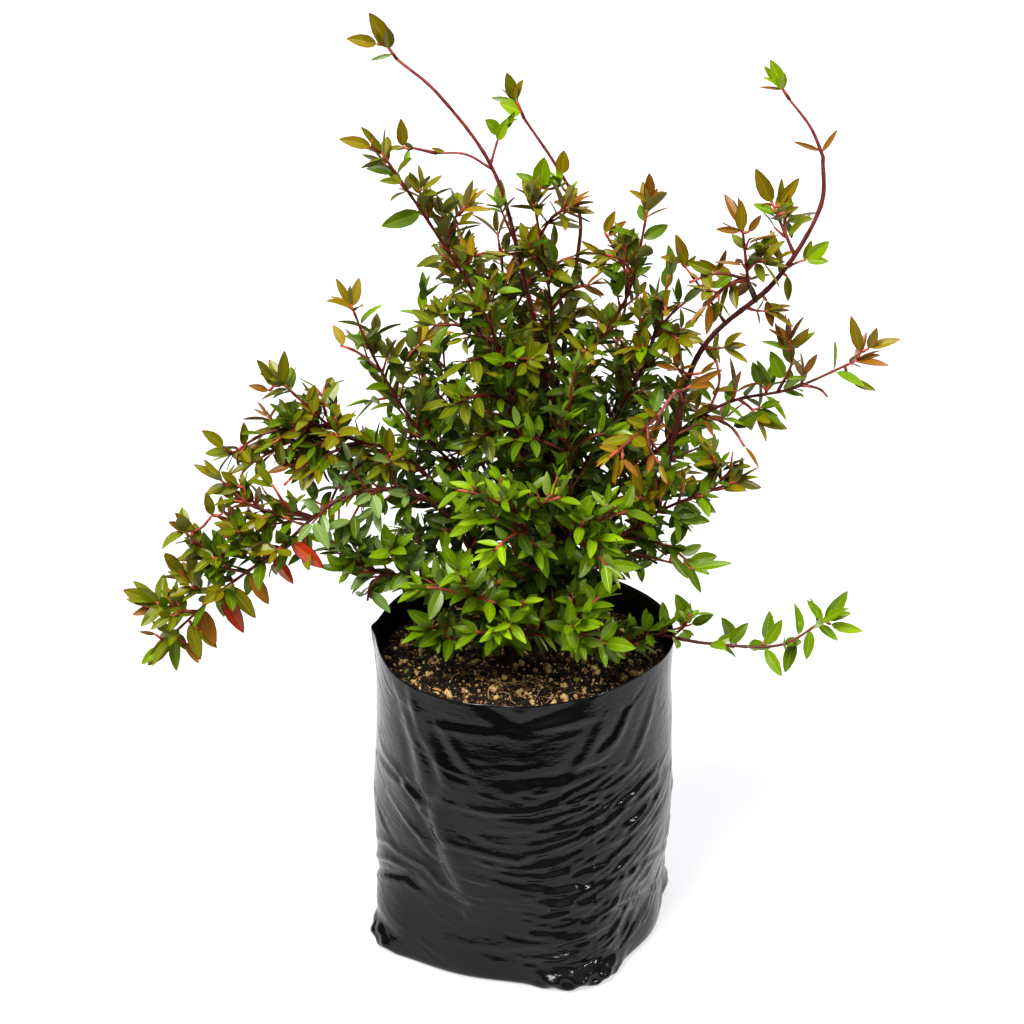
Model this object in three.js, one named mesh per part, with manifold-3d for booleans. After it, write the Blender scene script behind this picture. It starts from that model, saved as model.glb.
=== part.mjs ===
// Potted abelia: a young evergreen shrub standing in a soft black grow bag of potting soil.
// Millimetres, +Z up. The origin is the middle of the bag's flat underside, +X is to the right
// and +Y to the back. Two stems rise from the soil, boughs fork from them, and each bough ends
// where it enters its own mass of foliage: twigs with pairs of leaves, grown by a seeded rule.

import * as THREE from 'three';
import { mergeVertices } from 'three/addons/utils/BufferGeometryUtils.js';
import Module from 'manifold-3d';

// Driving dimensions

const touchGap = 0.3; // clear distance between pieces that rest on each other

const bag = {
  height: 205,
  rimRadius: 95,
  wall: 1,
  floor: 1.5,
  baseHalfSide: 82, // from the middle to a flat side of the squarish base
  baseCorner: 38, // rounding of the base's four corners
  cornerAngle: 23, // degrees from +X to the first corner
  roundHeight: 110, // above this the bag is round
  underEdge: 7, // rounding between the underside and the wall
  sides: 32,
};
const bagLevels = [0, 2, 7, 30, 65, 110];

const soil = { footLevel: 186, edgeLevel: 183, ripple: 1.3 };

const stemFlare = { extra: 0.9, fade: 5 }; // share of the radius added at the cut, and its height
const stemCut = soil.footLevel + touchGap; // the flat cut at ground level
const stemSteps = 8;

const limbSides = 5;
const stemSides = 9;
const limbStep = 28; // length of one straight piece of a bough
const twigStep = 24; // length of one straight piece of a twig
const limbSamples = 40; // points along a limb or a stem of foliage where distances are taken
const shootSamples = 14; // the same along the shoots that a mass's space is measured from

const leaf = {
  length: 30,
  width: 12.5,
  thickness: 1.3,
  sink: 0.6, // how far the root runs past the middle of its twig
  widest: 0.42, // how far along the blade it is widest
  fold: 1, // how far the margins stand above the midrib
  droop: 0.08, // how far the tip hangs, as a share of the length
  spread: 52, // degrees between a leaf and its twig
  spreadRange: 16,
  tipSpread: 26, // the same in the tuft at a twig's end
  tuft: 4,
  apart: 3, // leaves of one mass keep this far from each other
  smaller: 0.75, // the share of its size at which a leaf with no room is tried again
};

const twig = {
  radius: 1.5,
  tipRadius: 1.1,
  bare: 11, // no leaf nearer than this to a twig's root
  internode: 19,
  sideLength: 24,
  sideShare: 0.18, // share of the stem's nodes whose buds have grown out into side twigs
  lift: 0.35, // how strongly side twigs turn up to the light
  thinner: 0.75, // a side twig's radius as a share of its parent's
};

// A side shoot forks from its stem this share of their distance below the nearest point, and bows
// forward on its way to its tip.
const sideShoot = { forkBack: 0.55, firstFork: 4, lastFork: 0.8, bow: 0.14, thinner: 0.85 };

const shortEdges = [0.4, 0.3, 0.2, 0.1, 0.03]; // joins are closed up to the first that stays whole
const weldDistance = 0.001; // corners nearer than this are one

const spaceMargin = 2; // how much nearer a leaf is to its own mass than to any other
const limbClear = 2.5; // clear distance between a leaf and a limb
const potClear = { above: 2, outside: 12, inside: 10 }; // the same over the soil and beside the rim

// In the three tables below, heights are above the soil's level at the stems' foot.

// Stems: the points they pass, from just under the soil to the tip, and the radius at both ends.
const stems = [
  { name: 'main_stem', path: [[9, 12, -7], [12, 13, 34], [10, 12, 83]], radius: [4.4, 2.6] },
  { name: 'left_stem', path: [[-6, -4, -7], [-11, -6, 24], [-26, -10, 67]], radius: [3.3, 1.9] },
];

// Boughs: the limb that carries each and how far along it, the points it passes, and its radius at
// root and tip. The right sweep bends round a wide gap, so its upper part is a bough of its own.
const boughs = [
  { name: 'right_sweep', on: 'main_stem', at: 0.3, radius: [3, 1.5],
    path: [[50, 0, 59], [84, -15, 131], [105, -20, 218], [150, -14, 263], [175, -8, 306], [176, -5, 338]] },
  { name: 'right_sweep_upper', on: 'right_sweep', at: 1, radius: [1.4, 0.9],
    path: [[168, -5, 356], [155, -5, 373]] },
  { name: 'right_sweep_side', on: 'right_sweep', at: 0.735, radius: [1.5, 1.2],
    path: [[133, -27, 265]] },
  { name: 'left_tall', on: 'main_stem', at: 0.97, radius: [2.4, 1.1],
    path: [[15, 14, 169], [-4, 24, 269], [-20, 26, 322], [-50, 26, 365], [-75, 25, 388]] },
  { name: 'left_tall_side', on: 'left_tall', at: 0.73, radius: [1, 0.8],
    path: [[-35, 22, 330], [-52, 18, 332]] },
  { name: 'top_middle', on: 'main_stem', at: 0.9, radius: [2.2, 1],
    path: [[20, 28, 169], [32, 40, 249], [34, 42, 285], [21, 40, 314], [0, 36, 348]] },
  { name: 'top_inner', on: 'main_stem', at: 0.8, radius: [2, 1.3],
    path: [[18, 6, 159], [18, 12, 192]] },
  { name: 'mid_right', on: 'main_stem', at: 0.62, radius: [2.2, 1.4],
    path: [[50, 2, 104], [72, -4, 138]] },
  { name: 'lower_right', on: 'main_stem', at: 0.5, radius: [2.1, 1.4],
    path: [[34, -10, 70], [50, -18, 88]] },
  { name: 'low_right', on: 'main_stem', at: 0.16, radius: [1.9, 1.3],
    path: [[36, 2, 7], [57, -4, 9.5]] },
  { name: 'low_left', on: 'left_stem', at: 0.85, radius: [2.4, 1.5],
    path: [[-45, -20, 109], [-75, -32, 133], [-105, -39, 134], [-125, -42, 123]] },
  { name: 'left', on: 'left_stem', at: 0.97, radius: [2.2, 1.4],
    path: [[-42, -3, 109], [-60, -3, 130]] },
  { name: 'left_upper', on: 'main_stem', at: 0.72, radius: [2, 1.3],
    path: [[-22, 12, 102], [-44, 9, 132]] },
  { name: 'upper_left', on: 'main_stem', at: 0.86, radius: [2.2, 1.3],
    path: [[-3, 14, 159], [-12, 4, 206]] },
  { name: 'inner_left', on: 'main_stem', at: 0.92, radius: [2, 1.3],
    path: [[5, -6, 125], [-1, -17, 152]] },
  { name: 'upright_right', on: 'main_stem', at: 0.83, radius: [2, 1.4],
    path: [[16, -4, 138], [26, -10, 174]] },
  { name: 'upper_right', on: 'main_stem', at: 0.76, radius: [2, 1.3],
    path: [[36, 8, 128], [54, 4, 160]] },
  { name: 'front_right', on: 'right_sweep', at: 0.52, radius: [1.4, 1.1],
    path: [[90, -48, 207], [76, -66, 201]] },
  { name: 'front', on: 'left_stem', at: 0.75, radius: [1.8, 1.3],
    path: [[-12, -28, 76], [0, -46, 96]] },
  { name: 'back_left', on: 'main_stem', at: 0.66, radius: [2.2, 1.4],
    path: [[-14, 32, 96], [-28, 42, 122]] },
  { name: 'back_right', on: 'main_stem', at: 0.58, radius: [2.2, 1.4],
    path: [[30, 30, 92], [42, 40, 116]] },
  { name: 'back', on: 'main_stem', at: 0.7, radius: [2.1, 1.4],
    path: [[8, 32, 82], [7, 48, 104]] },
  { name: 'back_top', on: 'main_stem', at: 1, radius: [2, 1.3],
    path: [[5, 24, 139], [0, 32, 172]] },
];

// Masses of foliage: the limb that carries each and how far along it, the way of its stem, and the
// tips of the side shoots that give the mass its outline.
const masses = [
  { name: 'right_tip', on: 'right_sweep_upper', at: 1, stem: [[149, -5, 382]], side: [] },
  { name: 'right_middle', on: 'right_sweep_side', at: 1, stem: [[128, -26, 311]],
    side: [[94, -30, 288], [142, -36, 288], [108, -36, 256]] },
  { name: 'right_outer', on: 'right_sweep', at: 0.83, stem: [[149, 2, 318]], side: [[160, 12, 300]] },
  { name: 'left_tall_tip', on: 'left_tall', at: 1, stem: [[-82, 25, 398]], side: [] },
  { name: 'left_tall_side', on: 'left_tall_side', at: 1, stem: [[-73, 12, 340]], side: [] },
  { name: 'top_middle_tip', on: 'top_middle', at: 1, stem: [[-4, 35, 359]], side: [] },
  { name: 'top_inner', on: 'top_inner', at: 1, stem: [[16, 16, 240], [6, 18, 302]],
    side: [[30, 14, 268], [-10, 12, 270]] },
  { name: 'mid_right', on: 'mid_right', at: 1,
    stem: [[103, -9, 169], [129, -8, 183], [164, -4, 189], [203, -2, 207]],
    side: [[160, -8, 223], [134, -26, 160], [186, 4, 180], [118, 14, 200]] },
  { name: 'lower_right', on: 'lower_right', at: 1, stem: [[84, -24, 116], [130, -30, 139]],
    side: [[114, -38, 160], [108, -16, 72], [84, -46, 84], [70, -40, 134]] },
  { name: 'low_right', on: 'low_right', at: 1,
    stem: [[83, -12, 23], [115, -26, 25], [158, -40, 31], [186, -42, 50]],
    side: [[104, -18, 42], [66, -36, 22], [184, -42, 24]] },
  { name: 'low_left', on: 'low_left', at: 1, stem: [[-150, -46, 100], [-185, -50, 74], [-218, -50, 42]],
    side: [[-152, -42, 142], [-184, -42, 146], [-210, -46, 116], [-226, -52, 68]] },
  { name: 'left', on: 'left', at: 1, stem: [[-80, -5, 148], [-112, -11, 162], [-146, -15, 197]],
    side: [[-178, -22, 153], [-122, 10, 184], [-112, -38, 172], [-94, 16, 138]] },
  { name: 'left_upper', on: 'left_upper', at: 1, stem: [[-70, 4, 166], [-92, -4, 212], [-104, -6, 245]],
    side: [[-112, 18, 208], [-60, 14, 214]] },
  { name: 'upper_left', on: 'upper_left', at: 1, stem: [[-32, -4, 255], [-53, -7, 292], [-84, -8, 342]],
    side: [[-34, 6, 304], [-64, 14, 278], [-24, -22, 284]] },
  { name: 'inner_left', on: 'inner_left', at: 1, stem: [[-8, -24, 190], [-18, -29, 234], [-22, -30, 268]],
    side: [[-54, -32, 242], [-40, -54, 200], [6, -46, 226]] },
  { name: 'upright_right', on: 'upright_right', at: 1,
    stem: [[38, -14, 213], [62, -18, 256], [73, -18, 310]],
    side: [[46, -24, 284], [34, -50, 232], [58, 6, 268]] },
  { name: 'upper_right', on: 'upper_right', at: 1, stem: [[74, -4, 208], [87, -16, 268]],
    side: [[98, 14, 238], [50, 18, 222]] },
  { name: 'front_right', on: 'front_right', at: 1, stem: [[50, -88, 181]], side: [[80, -84, 175]] },
  { name: 'front', on: 'front', at: 1, stem: [[2, -62, 122], [-10, -76, 150]],
    side: [[22, -80, 152], [-40, -66, 150], [-18, -84, 118]] },
  { name: 'back_left', on: 'back_left', at: 1, stem: [[-44, 54, 150], [-64, 64, 214]],
    side: [[-96, 48, 158], [-58, 80, 138], [-88, 42, 110]] },
  { name: 'back_right', on: 'back_right', at: 1, stem: [[56, 52, 146], [76, 62, 210]],
    side: [[104, 42, 160], [70, 80, 140], [96, 48, 106]] },
  { name: 'back', on: 'back', at: 1, stem: [[5, 68, 134], [4, 90, 192]],
    side: [[-26, 90, 132], [34, 90, 134], [6, 96, 104]] },
  { name: 'back_top', on: 'back_top', at: 1, stem: [[-8, 44, 210], [-16, 50, 270]],
    side: [[22, 62, 246], [-46, 54, 246], [34, 52, 214], [-6, 74, 222]] },
  { name: 'front_low_left', on: 'left_stem', at: 0.72, stem: [[-30, -54, 69], [-40, -80, 104]],
    side: [[-64, -64, 84], [-16, -78, 80]] },
  { name: 'front_low_middle', on: 'left_stem', at: 0.42, stem: [[-10, -50, 45], [-8, -76, 66]],
    side: [[12, -62, 32], [-30, -64, 32]] },
  { name: 'front_low_right', on: 'main_stem', at: 0.38, stem: [[20, -36, 43], [30, -66, 58]],
    side: [[52, -56, 40], [46, -50, 70]] },
  { name: 'front_middle_right', on: 'main_stem', at: 0.68, stem: [[26, -44, 105], [36, -80, 136]],
    side: [[62, -62, 134], [50, -76, 104]] },
  { name: 'left_skirt', on: 'left_stem', at: 0.55, stem: [[-44, -26, 37], [-62, -40, 32]],
    side: [[-44, -50, 26], [-70, -16, 40]] },
  { name: 'left_low', on: 'left_stem', at: 0.66, stem: [[-66, -30, 73], [-112, -38, 82]],
    side: [[-108, -22, 108], [-96, -44, 64], [-80, -50, 104]] },
  { name: 'centre_front', on: 'main_stem', at: 0.55, stem: [[27, -10, 98], [28, -36, 146], [22, -60, 196]],
    side: [[-6, -56, 178], [50, -50, 180], [30, -62, 226]] },
  { name: 'back_low_left', on: 'main_stem', at: 0.46, stem: [[-44, 36, 51], [-66, 44, 62]],
    side: [[-40, 62, 68], [-72, 14, 72]] },
  { name: 'back_low_right', on: 'main_stem', at: 0.42, stem: [[48, 36, 47], [72, 40, 60]],
    side: [[48, 66, 64], [84, 8, 64]] },
];

// Colours

const colours = {
  bag: { color: 0x1b1c1f, roughness: 0.42, metalness: 0 },
  soil: { color: 0x3a2a1c, roughness: 0.95, metalness: 0 },
  bark: { color: 0x4a2421, roughness: 0.6, metalness: 0 },
  shoot: { color: 0x7a2b2b, roughness: 0.5, metalness: 0 },
  leafDark: { color: 0x2f4f1d, roughness: 0.45, metalness: 0 },
  leafBright: { color: 0x6f9a2c, roughness: 0.42, metalness: 0 },
  leafBronze: { color: 0x7d6a2a, roughness: 0.45, metalness: 0 },
};
const brightMasses = ['front', 'front_low_left', 'front_low_middle', 'front_low_right', 'low_right',
  'front_middle_right'];
const bronzeMasses = ['right_tip', 'right_middle', 'right_outer', 'left_tall_tip',
  'left_tall_side', 'top_middle_tip', 'top_inner', 'low_left', 'left', 'front_right', 'upright_right'];

const wasm = await Module();
wasm.setup();
const Manifold = wasm.Manifold;

// Vectors, curves and random numbers

// A point of the tables, whose height is above the soil.
const plantPoint = ([x, y, height]) => new THREE.Vector3(x, y, soil.footLevel + height);
const radians = THREE.MathUtils.degToRad;
const mix = THREE.MathUtils.lerp;
const up = new THREE.Vector3(0, 0, 1);

function smoothPath(points) {
  const curve = new THREE.CatmullRomCurve3(points, false, 'catmullrom', 0.5);
  curve.arcLengthDivisions = 60;
  return curve;
}

// The same seed always gives the same run of numbers between 0 and 1.
function seededRandom(seed) {
  let state = seed >>> 0;
  return () => {
    state = (state + 0x6d2b79f5) >>> 0;
    let t = state;
    t = Math.imul(t ^ (t >>> 15), t | 1);
    t ^= t + Math.imul(t ^ (t >>> 7), t | 61);
    return ((t ^ (t >>> 14)) >>> 0) / 4294967296;
  };
}

// Closed solids

// Rings of equal count, joined in order, with a flat fan over the first and the last ring. The
// slant says which way each four-sided face is split in two.
function loft(rings, slant = 'forward') {
  const count = rings[0].length;
  const positions = rings.flat().flatMap((p) => [p.x, p.y, p.z]);
  const index = [];
  for (let r = 0; r + 1 < rings.length; r += 1) {
    for (let i = 0; i < count; i += 1) {
      const a = r * count + i;
      const b = r * count + (i + 1) % count;
      if (slant === 'forward') {
        index.push(a, b, b + count, a, b + count, a + count);
      } else {
        index.push(a, b, a + count, b, b + count, a + count);
      }
    }
  }
  const cap = (ring, start, flip) => {
    let centre = start;
    if (count > 3) {
      const middle = ring.reduce((sum, p) => sum.add(p), new THREE.Vector3()).divideScalar(count);
      centre = positions.length / 3;
      positions.push(middle.x, middle.y, middle.z);
    }
    const corners = count > 3 ? [...Array(count).keys()] : [1];
    for (const i of corners) {
      const a = start + i;
      const b = start + (i + 1) % count;
      index.push(centre, ...(flip ? [b, a] : [a, b]));
    }
  };
  cap(rings[0], 0, true);
  cap(rings[rings.length - 1], (rings.length - 1) * count, false);
  const geometry = new THREE.BufferGeometry();
  geometry.setAttribute('position', new THREE.Float32BufferAttribute(positions, 3));
  geometry.setIndex(index);
  return geometry;
}

// A round limb along a curve. radiusAt gives the radius at each fraction of its length, and extra
// is added to the radius and beyond the tip.
function tubeRings(curve, radiusAt, sides, steps, extra = 0) {
  const frames = curve.computeFrenetFrames(steps, false);
  const rings = [];
  for (let s = 0; s <= steps; s += 1) {
    const u = s / steps;
    const centre = curve.getPointAt(u);
    if (s === steps) {
      centre.addScaledVector(frames.tangents[s], extra);
    }
    const radius = radiusAt(u) + extra;
    const ring = [];
    for (let i = 0; i < sides; i += 1) {
      const angle = (2 * Math.PI * i) / sides;
      ring.push(centre.clone()
        .addScaledVector(frames.normals[s], radius * Math.cos(angle))
        .addScaledVector(frames.binormals[s], radius * Math.sin(angle)));
    }
    rings.push(ring);
  }
  return rings;
}

function toManifold(geometry) {
  const bare = new THREE.BufferGeometry();
  bare.setAttribute('position', geometry.getAttribute('position'));
  bare.setIndex(geometry.getIndex());
  const merged = mergeVertices(bare, weldDistance);
  return new Manifold(new wasm.Mesh({
    numProp: 3,
    vertProperties: new Float32Array(merged.getAttribute('position').array),
    triVerts: new Uint32Array(merged.getIndex().array),
  }));
}

// Neighbours of every corner of a triangle mesh.
function neighbourSets(triangles) {
  const neighbours = new Map();
  for (const triangle of triangles) {
    for (const corner of triangle) {
      if (!neighbours.has(corner)) {
        neighbours.set(corner, new Set());
      }
      const others = triangle.filter((other) => other !== corner);
      others.forEach((other) => neighbours.get(corner).add(other));
    }
  }
  return neighbours;
}

// Where joining leaves two corners closer than the limit, they become one. Two corners with
// exactly two neighbours in common can do so and leave the mesh closed.
function withoutShortEdges(points, allTriangles, limit) {
  let triangles = allTriangles;
  let found = true;
  while (found) {
    const merged = new Map();
    const neighbours = neighbourSets(triangles);
    const settled = new Set();
    for (const [a, around] of neighbours) {
      for (const b of around) {
        const near = points[a].distanceTo(points[b]) < limit;
        if (!near || settled.has(a) || settled.has(b)) {
          continue;
        }
        const beyond = neighbours.get(b);
        const shared = [...around].filter((corner) => beyond.has(corner));
        if (shared.length === 2) {
          merged.set(b, a);
          [a, b, ...around, ...beyond].forEach((corner) => settled.add(corner));
        }
      }
    }
    const keep = (corner) => merged.get(corner) ?? corner;
    triangles = triangles.map((triangle) => triangle.map(keep))
      .filter(([a, b, c]) => a !== b && b !== c && c !== a);
    found = merged.size > 0;
  }
  return triangles;
}

function toGeometry(solid) {
  const mesh = solid.getMesh();
  const points = [];
  for (let i = 0; i < mesh.vertProperties.length; i += 3) {
    points.push(new THREE.Vector3().fromArray(mesh.vertProperties, i));
  }
  const triangles = [];
  for (let i = 0; i < mesh.triVerts.length; i += 3) {
    triangles.push([...mesh.triVerts.slice(i, i + 3)]);
  }
  for (const limit of shortEdges) {
    const corners = withoutShortEdges(points, triangles, limit).flat();
    const soup = new THREE.BufferGeometry();
    const positions = corners.flatMap((i) => points[i].toArray());
    soup.setAttribute('position', new THREE.Float32BufferAttribute(positions, 3));
    const geometry = mergeVertices(soup, weldDistance);
    if (isOneBody(geometry)) {
      return geometry;
    }
  }
  throw new Error('a joined solid is not one closed body');
}

// Its triangles hang together, and no corner is shared by two fans of them, which would be split.
function isOneBody(geometry) {
  try {
    const solid = toManifold(geometry);
    const whole = solid.numVert() === geometry.getAttribute('position').count;
    return whole && solid.decompose().length === 1;
  } catch {
    return false;
  }
}

function largestPiece(solid) {
  const pieces = solid.decompose();
  return pieces.reduce((best, piece) => (piece.volume() > best.volume() ? piece : best));
}

// Grow bag and soil

// Distance from the middle to the edge of a square with rounded corners, in a given direction.
function squareRadius(angle) {
  const quarter = Math.PI / 2;
  const fromCorner = angle - radians(bag.cornerAngle);
  const a = Math.abs(((fromCorner % quarter) + quarter) % quarter - quarter / 2);
  const flat = bag.baseHalfSide / Math.cos(a);
  const inner = bag.baseHalfSide - bag.baseCorner;
  if (flat * Math.sin(a) <= inner) {
    return flat;
  }
  const along = inner * (Math.cos(a) + Math.sin(a));
  return along + Math.sqrt(bag.baseCorner ** 2 - 2 * inner ** 2 + along ** 2);
}

// The bag's outer radius: squarish at the foot, round from halfway up.
function bagRadius(angle, z) {
  const roundness = THREE.MathUtils.smoothstep(z, 0, bag.roundHeight);
  const below = Math.max(0, bag.underEdge - z);
  const inset = bag.underEdge - Math.sqrt(bag.underEdge ** 2 - below ** 2);
  return mix(squareRadius(angle), bag.rimRadius, roundness) - inset;
}

// A level ring whose shape is the bag's at one level, drawn in by inset and placed at height z.
function bagRing(level, inset, z) {
  const ring = [];
  for (let i = 0; i < bag.sides; i += 1) {
    const angle = radians(bag.cornerAngle) + (2 * Math.PI * i) / bag.sides;
    const radius = bagRadius(angle, level) - inset;
    ring.push(new THREE.Vector3(radius * Math.cos(angle), radius * Math.sin(angle), z));
  }
  return ring;
}

function growBagGeometry() {
  const outside = bagLevels.map((level) => bagRing(level, 0, level));
  const inside = bagLevels.map((level) => bagRing(level, bag.wall, level + bag.floor));
  const rim = [bagRing(bag.height, 0, bag.height), bagRing(bag.height, bag.wall, bag.height)];
  return loft([...outside, ...rim, ...inside.reverse()]);
}

// The soil fills the bag to a little under its rim. It is level round the stems and ripples
// gently towards the wall.
function soilGeometry() {
  const inset = bag.wall + touchGap;
  const lift = bag.floor + touchGap;
  const rings = bagLevels.map((level) => bagRing(level, inset, level + lift));
  const surface = [[1, 1], [0.75, 0.7], [0.45, 0]]; // share of the radius, share of the ripple
  for (const [share, rough] of surface) {
    const ring = bagRing(bag.height, inset, 0);
    ring.forEach((p, i) => {
      const angle = (2 * Math.PI * i) / bag.sides;
      const fall = (soil.footLevel - soil.edgeLevel) * rough ** 2;
      p.multiplyScalar(share);
      p.z = soil.footLevel - fall + rough * soil.ripple * Math.sin(3 * angle + 5 * share);
    });
    rings.push(ring);
  }
  return loft(rings, 'backward');
}

// Stems and boughs

const limbs = new Map(); // every limb by name, with its curve, radius and grown solid

function addLimb(name, curve, radiusAt, sides, steps, cut) {
  let solid = toManifold(loft(tubeRings(curve, radiusAt, sides, steps)));
  const grown = toManifold(loft(tubeRings(curve, radiusAt, sides, steps, touchGap)));
  solid = cut(solid);
  for (const other of limbs.values()) {
    solid = solid.subtract(other.grown);
  }
  const samples = curve.getSpacedPoints(limbSamples)
    .map((centre, i) => ({ centre, radius: radiusAt(i / limbSamples) }));
  limbs.set(name, { curve, radiusAt, grown, samples, solid: largestPiece(solid) });
}

// A stem is cut flat at ground level and flares into its roots there.
function addStem(spec) {
  const curve = smoothPath(spec.path.map(plantPoint));
  const [rootRadius, tipRadius] = spec.radius;
  const radiusAt = (u) => {
    const above = Math.max(0, curve.getPointAt(u).z - stemCut);
    return mix(rootRadius, tipRadius, u) * (1 + stemFlare.extra * Math.exp(-above / stemFlare.fade));
  };
  const [footX, footY] = spec.path[0];
  const groundBlock = { width: 60, depth: 40 };
  const below = new THREE.BoxGeometry(groundBlock.width, groundBlock.width, groundBlock.depth);
  below.translate(footX, footY, stemCut - groundBlock.depth / 2);
  const ground = toManifold(below);
  addLimb(spec.name, curve, radiusAt, stemSides, stemSteps, (solid) => solid.subtract(ground));
}

function addBough(spec) {
  const parent = limbs.get(spec.on);
  const root = parent.curve.getPointAt(spec.at);
  const curve = smoothPath([root, ...spec.path.map(plantPoint)]);
  const [rootRadius, tipRadius] = spec.radius;
  const steps = Math.max(2, Math.round(curve.getLength() / limbStep));
  const radiusAt = (u) => mix(rootRadius, tipRadius, u);
  addLimb(spec.name, curve, radiusAt, limbSides, steps, (solid) => solid);
}

stems.forEach(addStem);
boughs.forEach(addBough);

// Foliage

// Every mass gets its shoots first: the stem, and side shoots that leave it where a natural fork
// would and end at the named tips. The space of a mass is whatever lies nearest its own shoots.
function shootsOf(mass) {
  const parent = limbs.get(mass.on);
  const root = parent.curve.getPointAt(mass.at);
  const stem = smoothPath([root, ...mass.stem.map(plantPoint)]);
  const length = stem.getLength();
  const shoots = [{ curve: stem, radius: twig.radius }];
  for (const tip of mass.side.map(plantPoint)) {
    let nearest = 0;
    let distance = Infinity;
    for (let i = 0; i <= limbSamples; i += 1) {
      const gap = stem.getPointAt(i / limbSamples).distanceTo(tip);
      if (gap < distance) {
        distance = gap;
        nearest = i / limbSamples;
      }
    }
    const below = nearest - (sideShoot.forkBack * distance) / length;
    const fork = THREE.MathUtils.clamp(below, sideShoot.firstFork / length, sideShoot.lastFork);
    const start = stem.getPointAt(fork);
    const bend = start.clone().lerp(tip, 0.5)
      .addScaledVector(stem.getTangentAt(fork), sideShoot.bow * start.distanceTo(tip));
    shoots.push({ curve: smoothPath([start, bend, tip]), radius: twig.radius * sideShoot.thinner });
  }
  return shoots;
}

const spaces = masses.map((mass) => shootsOf(mass));
const spacePoints = spaces.map((shoots) => {
  return shoots.map((shoot) => shoot.curve.getSpacedPoints(shootSamples));
});

function distanceToPath(point, path) {
  const segment = new THREE.Line3();
  const closest = new THREE.Vector3();
  let best = Infinity;
  for (let i = 0; i + 1 < path.length; i += 1) {
    segment.set(path[i], path[i + 1]).closestPointToPoint(point, true, closest);
    best = Math.min(best, closest.distanceTo(point));
  }
  return best;
}

function distanceToMass(point, m) {
  return Math.min(...spacePoints[m].map((path) => distanceToPath(point, path)));
}

function clearOfPot(p) {
  const radius = Math.hypot(p.x, p.y);
  if (radius > bag.rimRadius + potClear.outside) {
    return p.z > potClear.above;
  }
  if (radius > bag.rimRadius - potClear.inside) {
    return p.z > bag.height + potClear.above;
  }
  return p.z > soil.footLevel + potClear.above;
}

function clearOfLimbs(p) {
  for (const limb of limbs.values()) {
    for (const { centre, radius } of limb.samples) {
      if (centre.distanceTo(p) < radius + limbClear) {
        return false;
      }
    }
  }
  return true;
}

function inOwnSpace(p, m) {
  const own = distanceToMass(p, m);
  return spaces.every((_, other) => other === m || distanceToMass(p, other) > own + spaceMargin);
}

function allowed(points, m) {
  return points.every((p) => clearOfPot(p) && clearOfLimbs(p) && inOwnSpace(p, m));
}

// A leaf is a flattened blade of eight faces, pointed at both ends and folded up along its midrib.
// Its root is sunk in the twig.
function leafBlade(node, direction, face, size) {
  const length = leaf.length * size;
  const half = (leaf.width * size) / 2;
  const across = new THREE.Vector3().crossVectors(direction, face).normalize();
  const normal = new THREE.Vector3().crossVectors(across, direction).normalize();
  const at = (along, side, lift) => node.clone()
    .addScaledVector(direction, along)
    .addScaledVector(across, side)
    .addScaledVector(normal, lift);
  const wide = leaf.widest * length;
  return {
    root: at(-leaf.sink, 0, 0),
    tip: at(length, 0, -leaf.droop * length),
    left: at(wide, -half, leaf.fold),
    under: at(wide, 0, -leaf.thickness / 2),
    right: at(wide, half, leaf.fold),
    above: at(wide, 0, leaf.thickness / 2),
  };
}

// Points spread over a blade, clear of the twig that it stands on.
function bladePoints({ root, tip, left, under, right, above }) {
  const points = [tip, left, right, above, under];
  for (const corner of [left, right, above]) {
    points.push(corner.clone().lerp(tip, 0.35));
    points.push(corner.clone().lerp(tip, 0.7));
    points.push(root.clone().lerp(corner, 0.65));
    points.push(root.clone().lerp(corner, 0.35));
  }
  return points;
}

function bladeSolid({ root, tip, left, under, right, above }) {
  const positions = [root, left, under, right, above, tip].flatMap((p) => [p.x, p.y, p.z]);
  const index = [];
  for (let side = 1; side <= 4; side += 1) {
    const next = (side % 4) + 1;
    index.push(0, side, next, side, 5, next);
  }
  const geometry = new THREE.BufferGeometry();
  geometry.setAttribute('position', new THREE.Float32BufferAttribute(positions, 3));
  geometry.setIndex(index);
  return toManifold(geometry);
}

// A leaf that would leave its space, touch a limb or lie on another leaf is tried smaller, then
// skipped.
function tryLeaf(grower, root, direction, face, size) {
  for (const share of [1, leaf.smaller]) {
    const blade = leafBlade(root, direction.clone().normalize(), face, size * share);
    const points = bladePoints(blade);
    const crowded = points.some((p) => grower.leafPoints.some((q) => p.distanceTo(q) < leaf.apart));
    if (!crowded && allowed(points, grower.mass)) {
      grower.solids.push(bladeSolid(blade));
      grower.leafPoints.push(...points);
      return;
    }
  }
}

function crossways(direction, turn) {
  const flat = Math.abs(direction.z) > 0.95 ? new THREE.Vector3(1, 0, 0) : up;
  const side = new THREE.Vector3().crossVectors(direction, flat).normalize();
  return side.applyAxisAngle(direction, turn);
}

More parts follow.
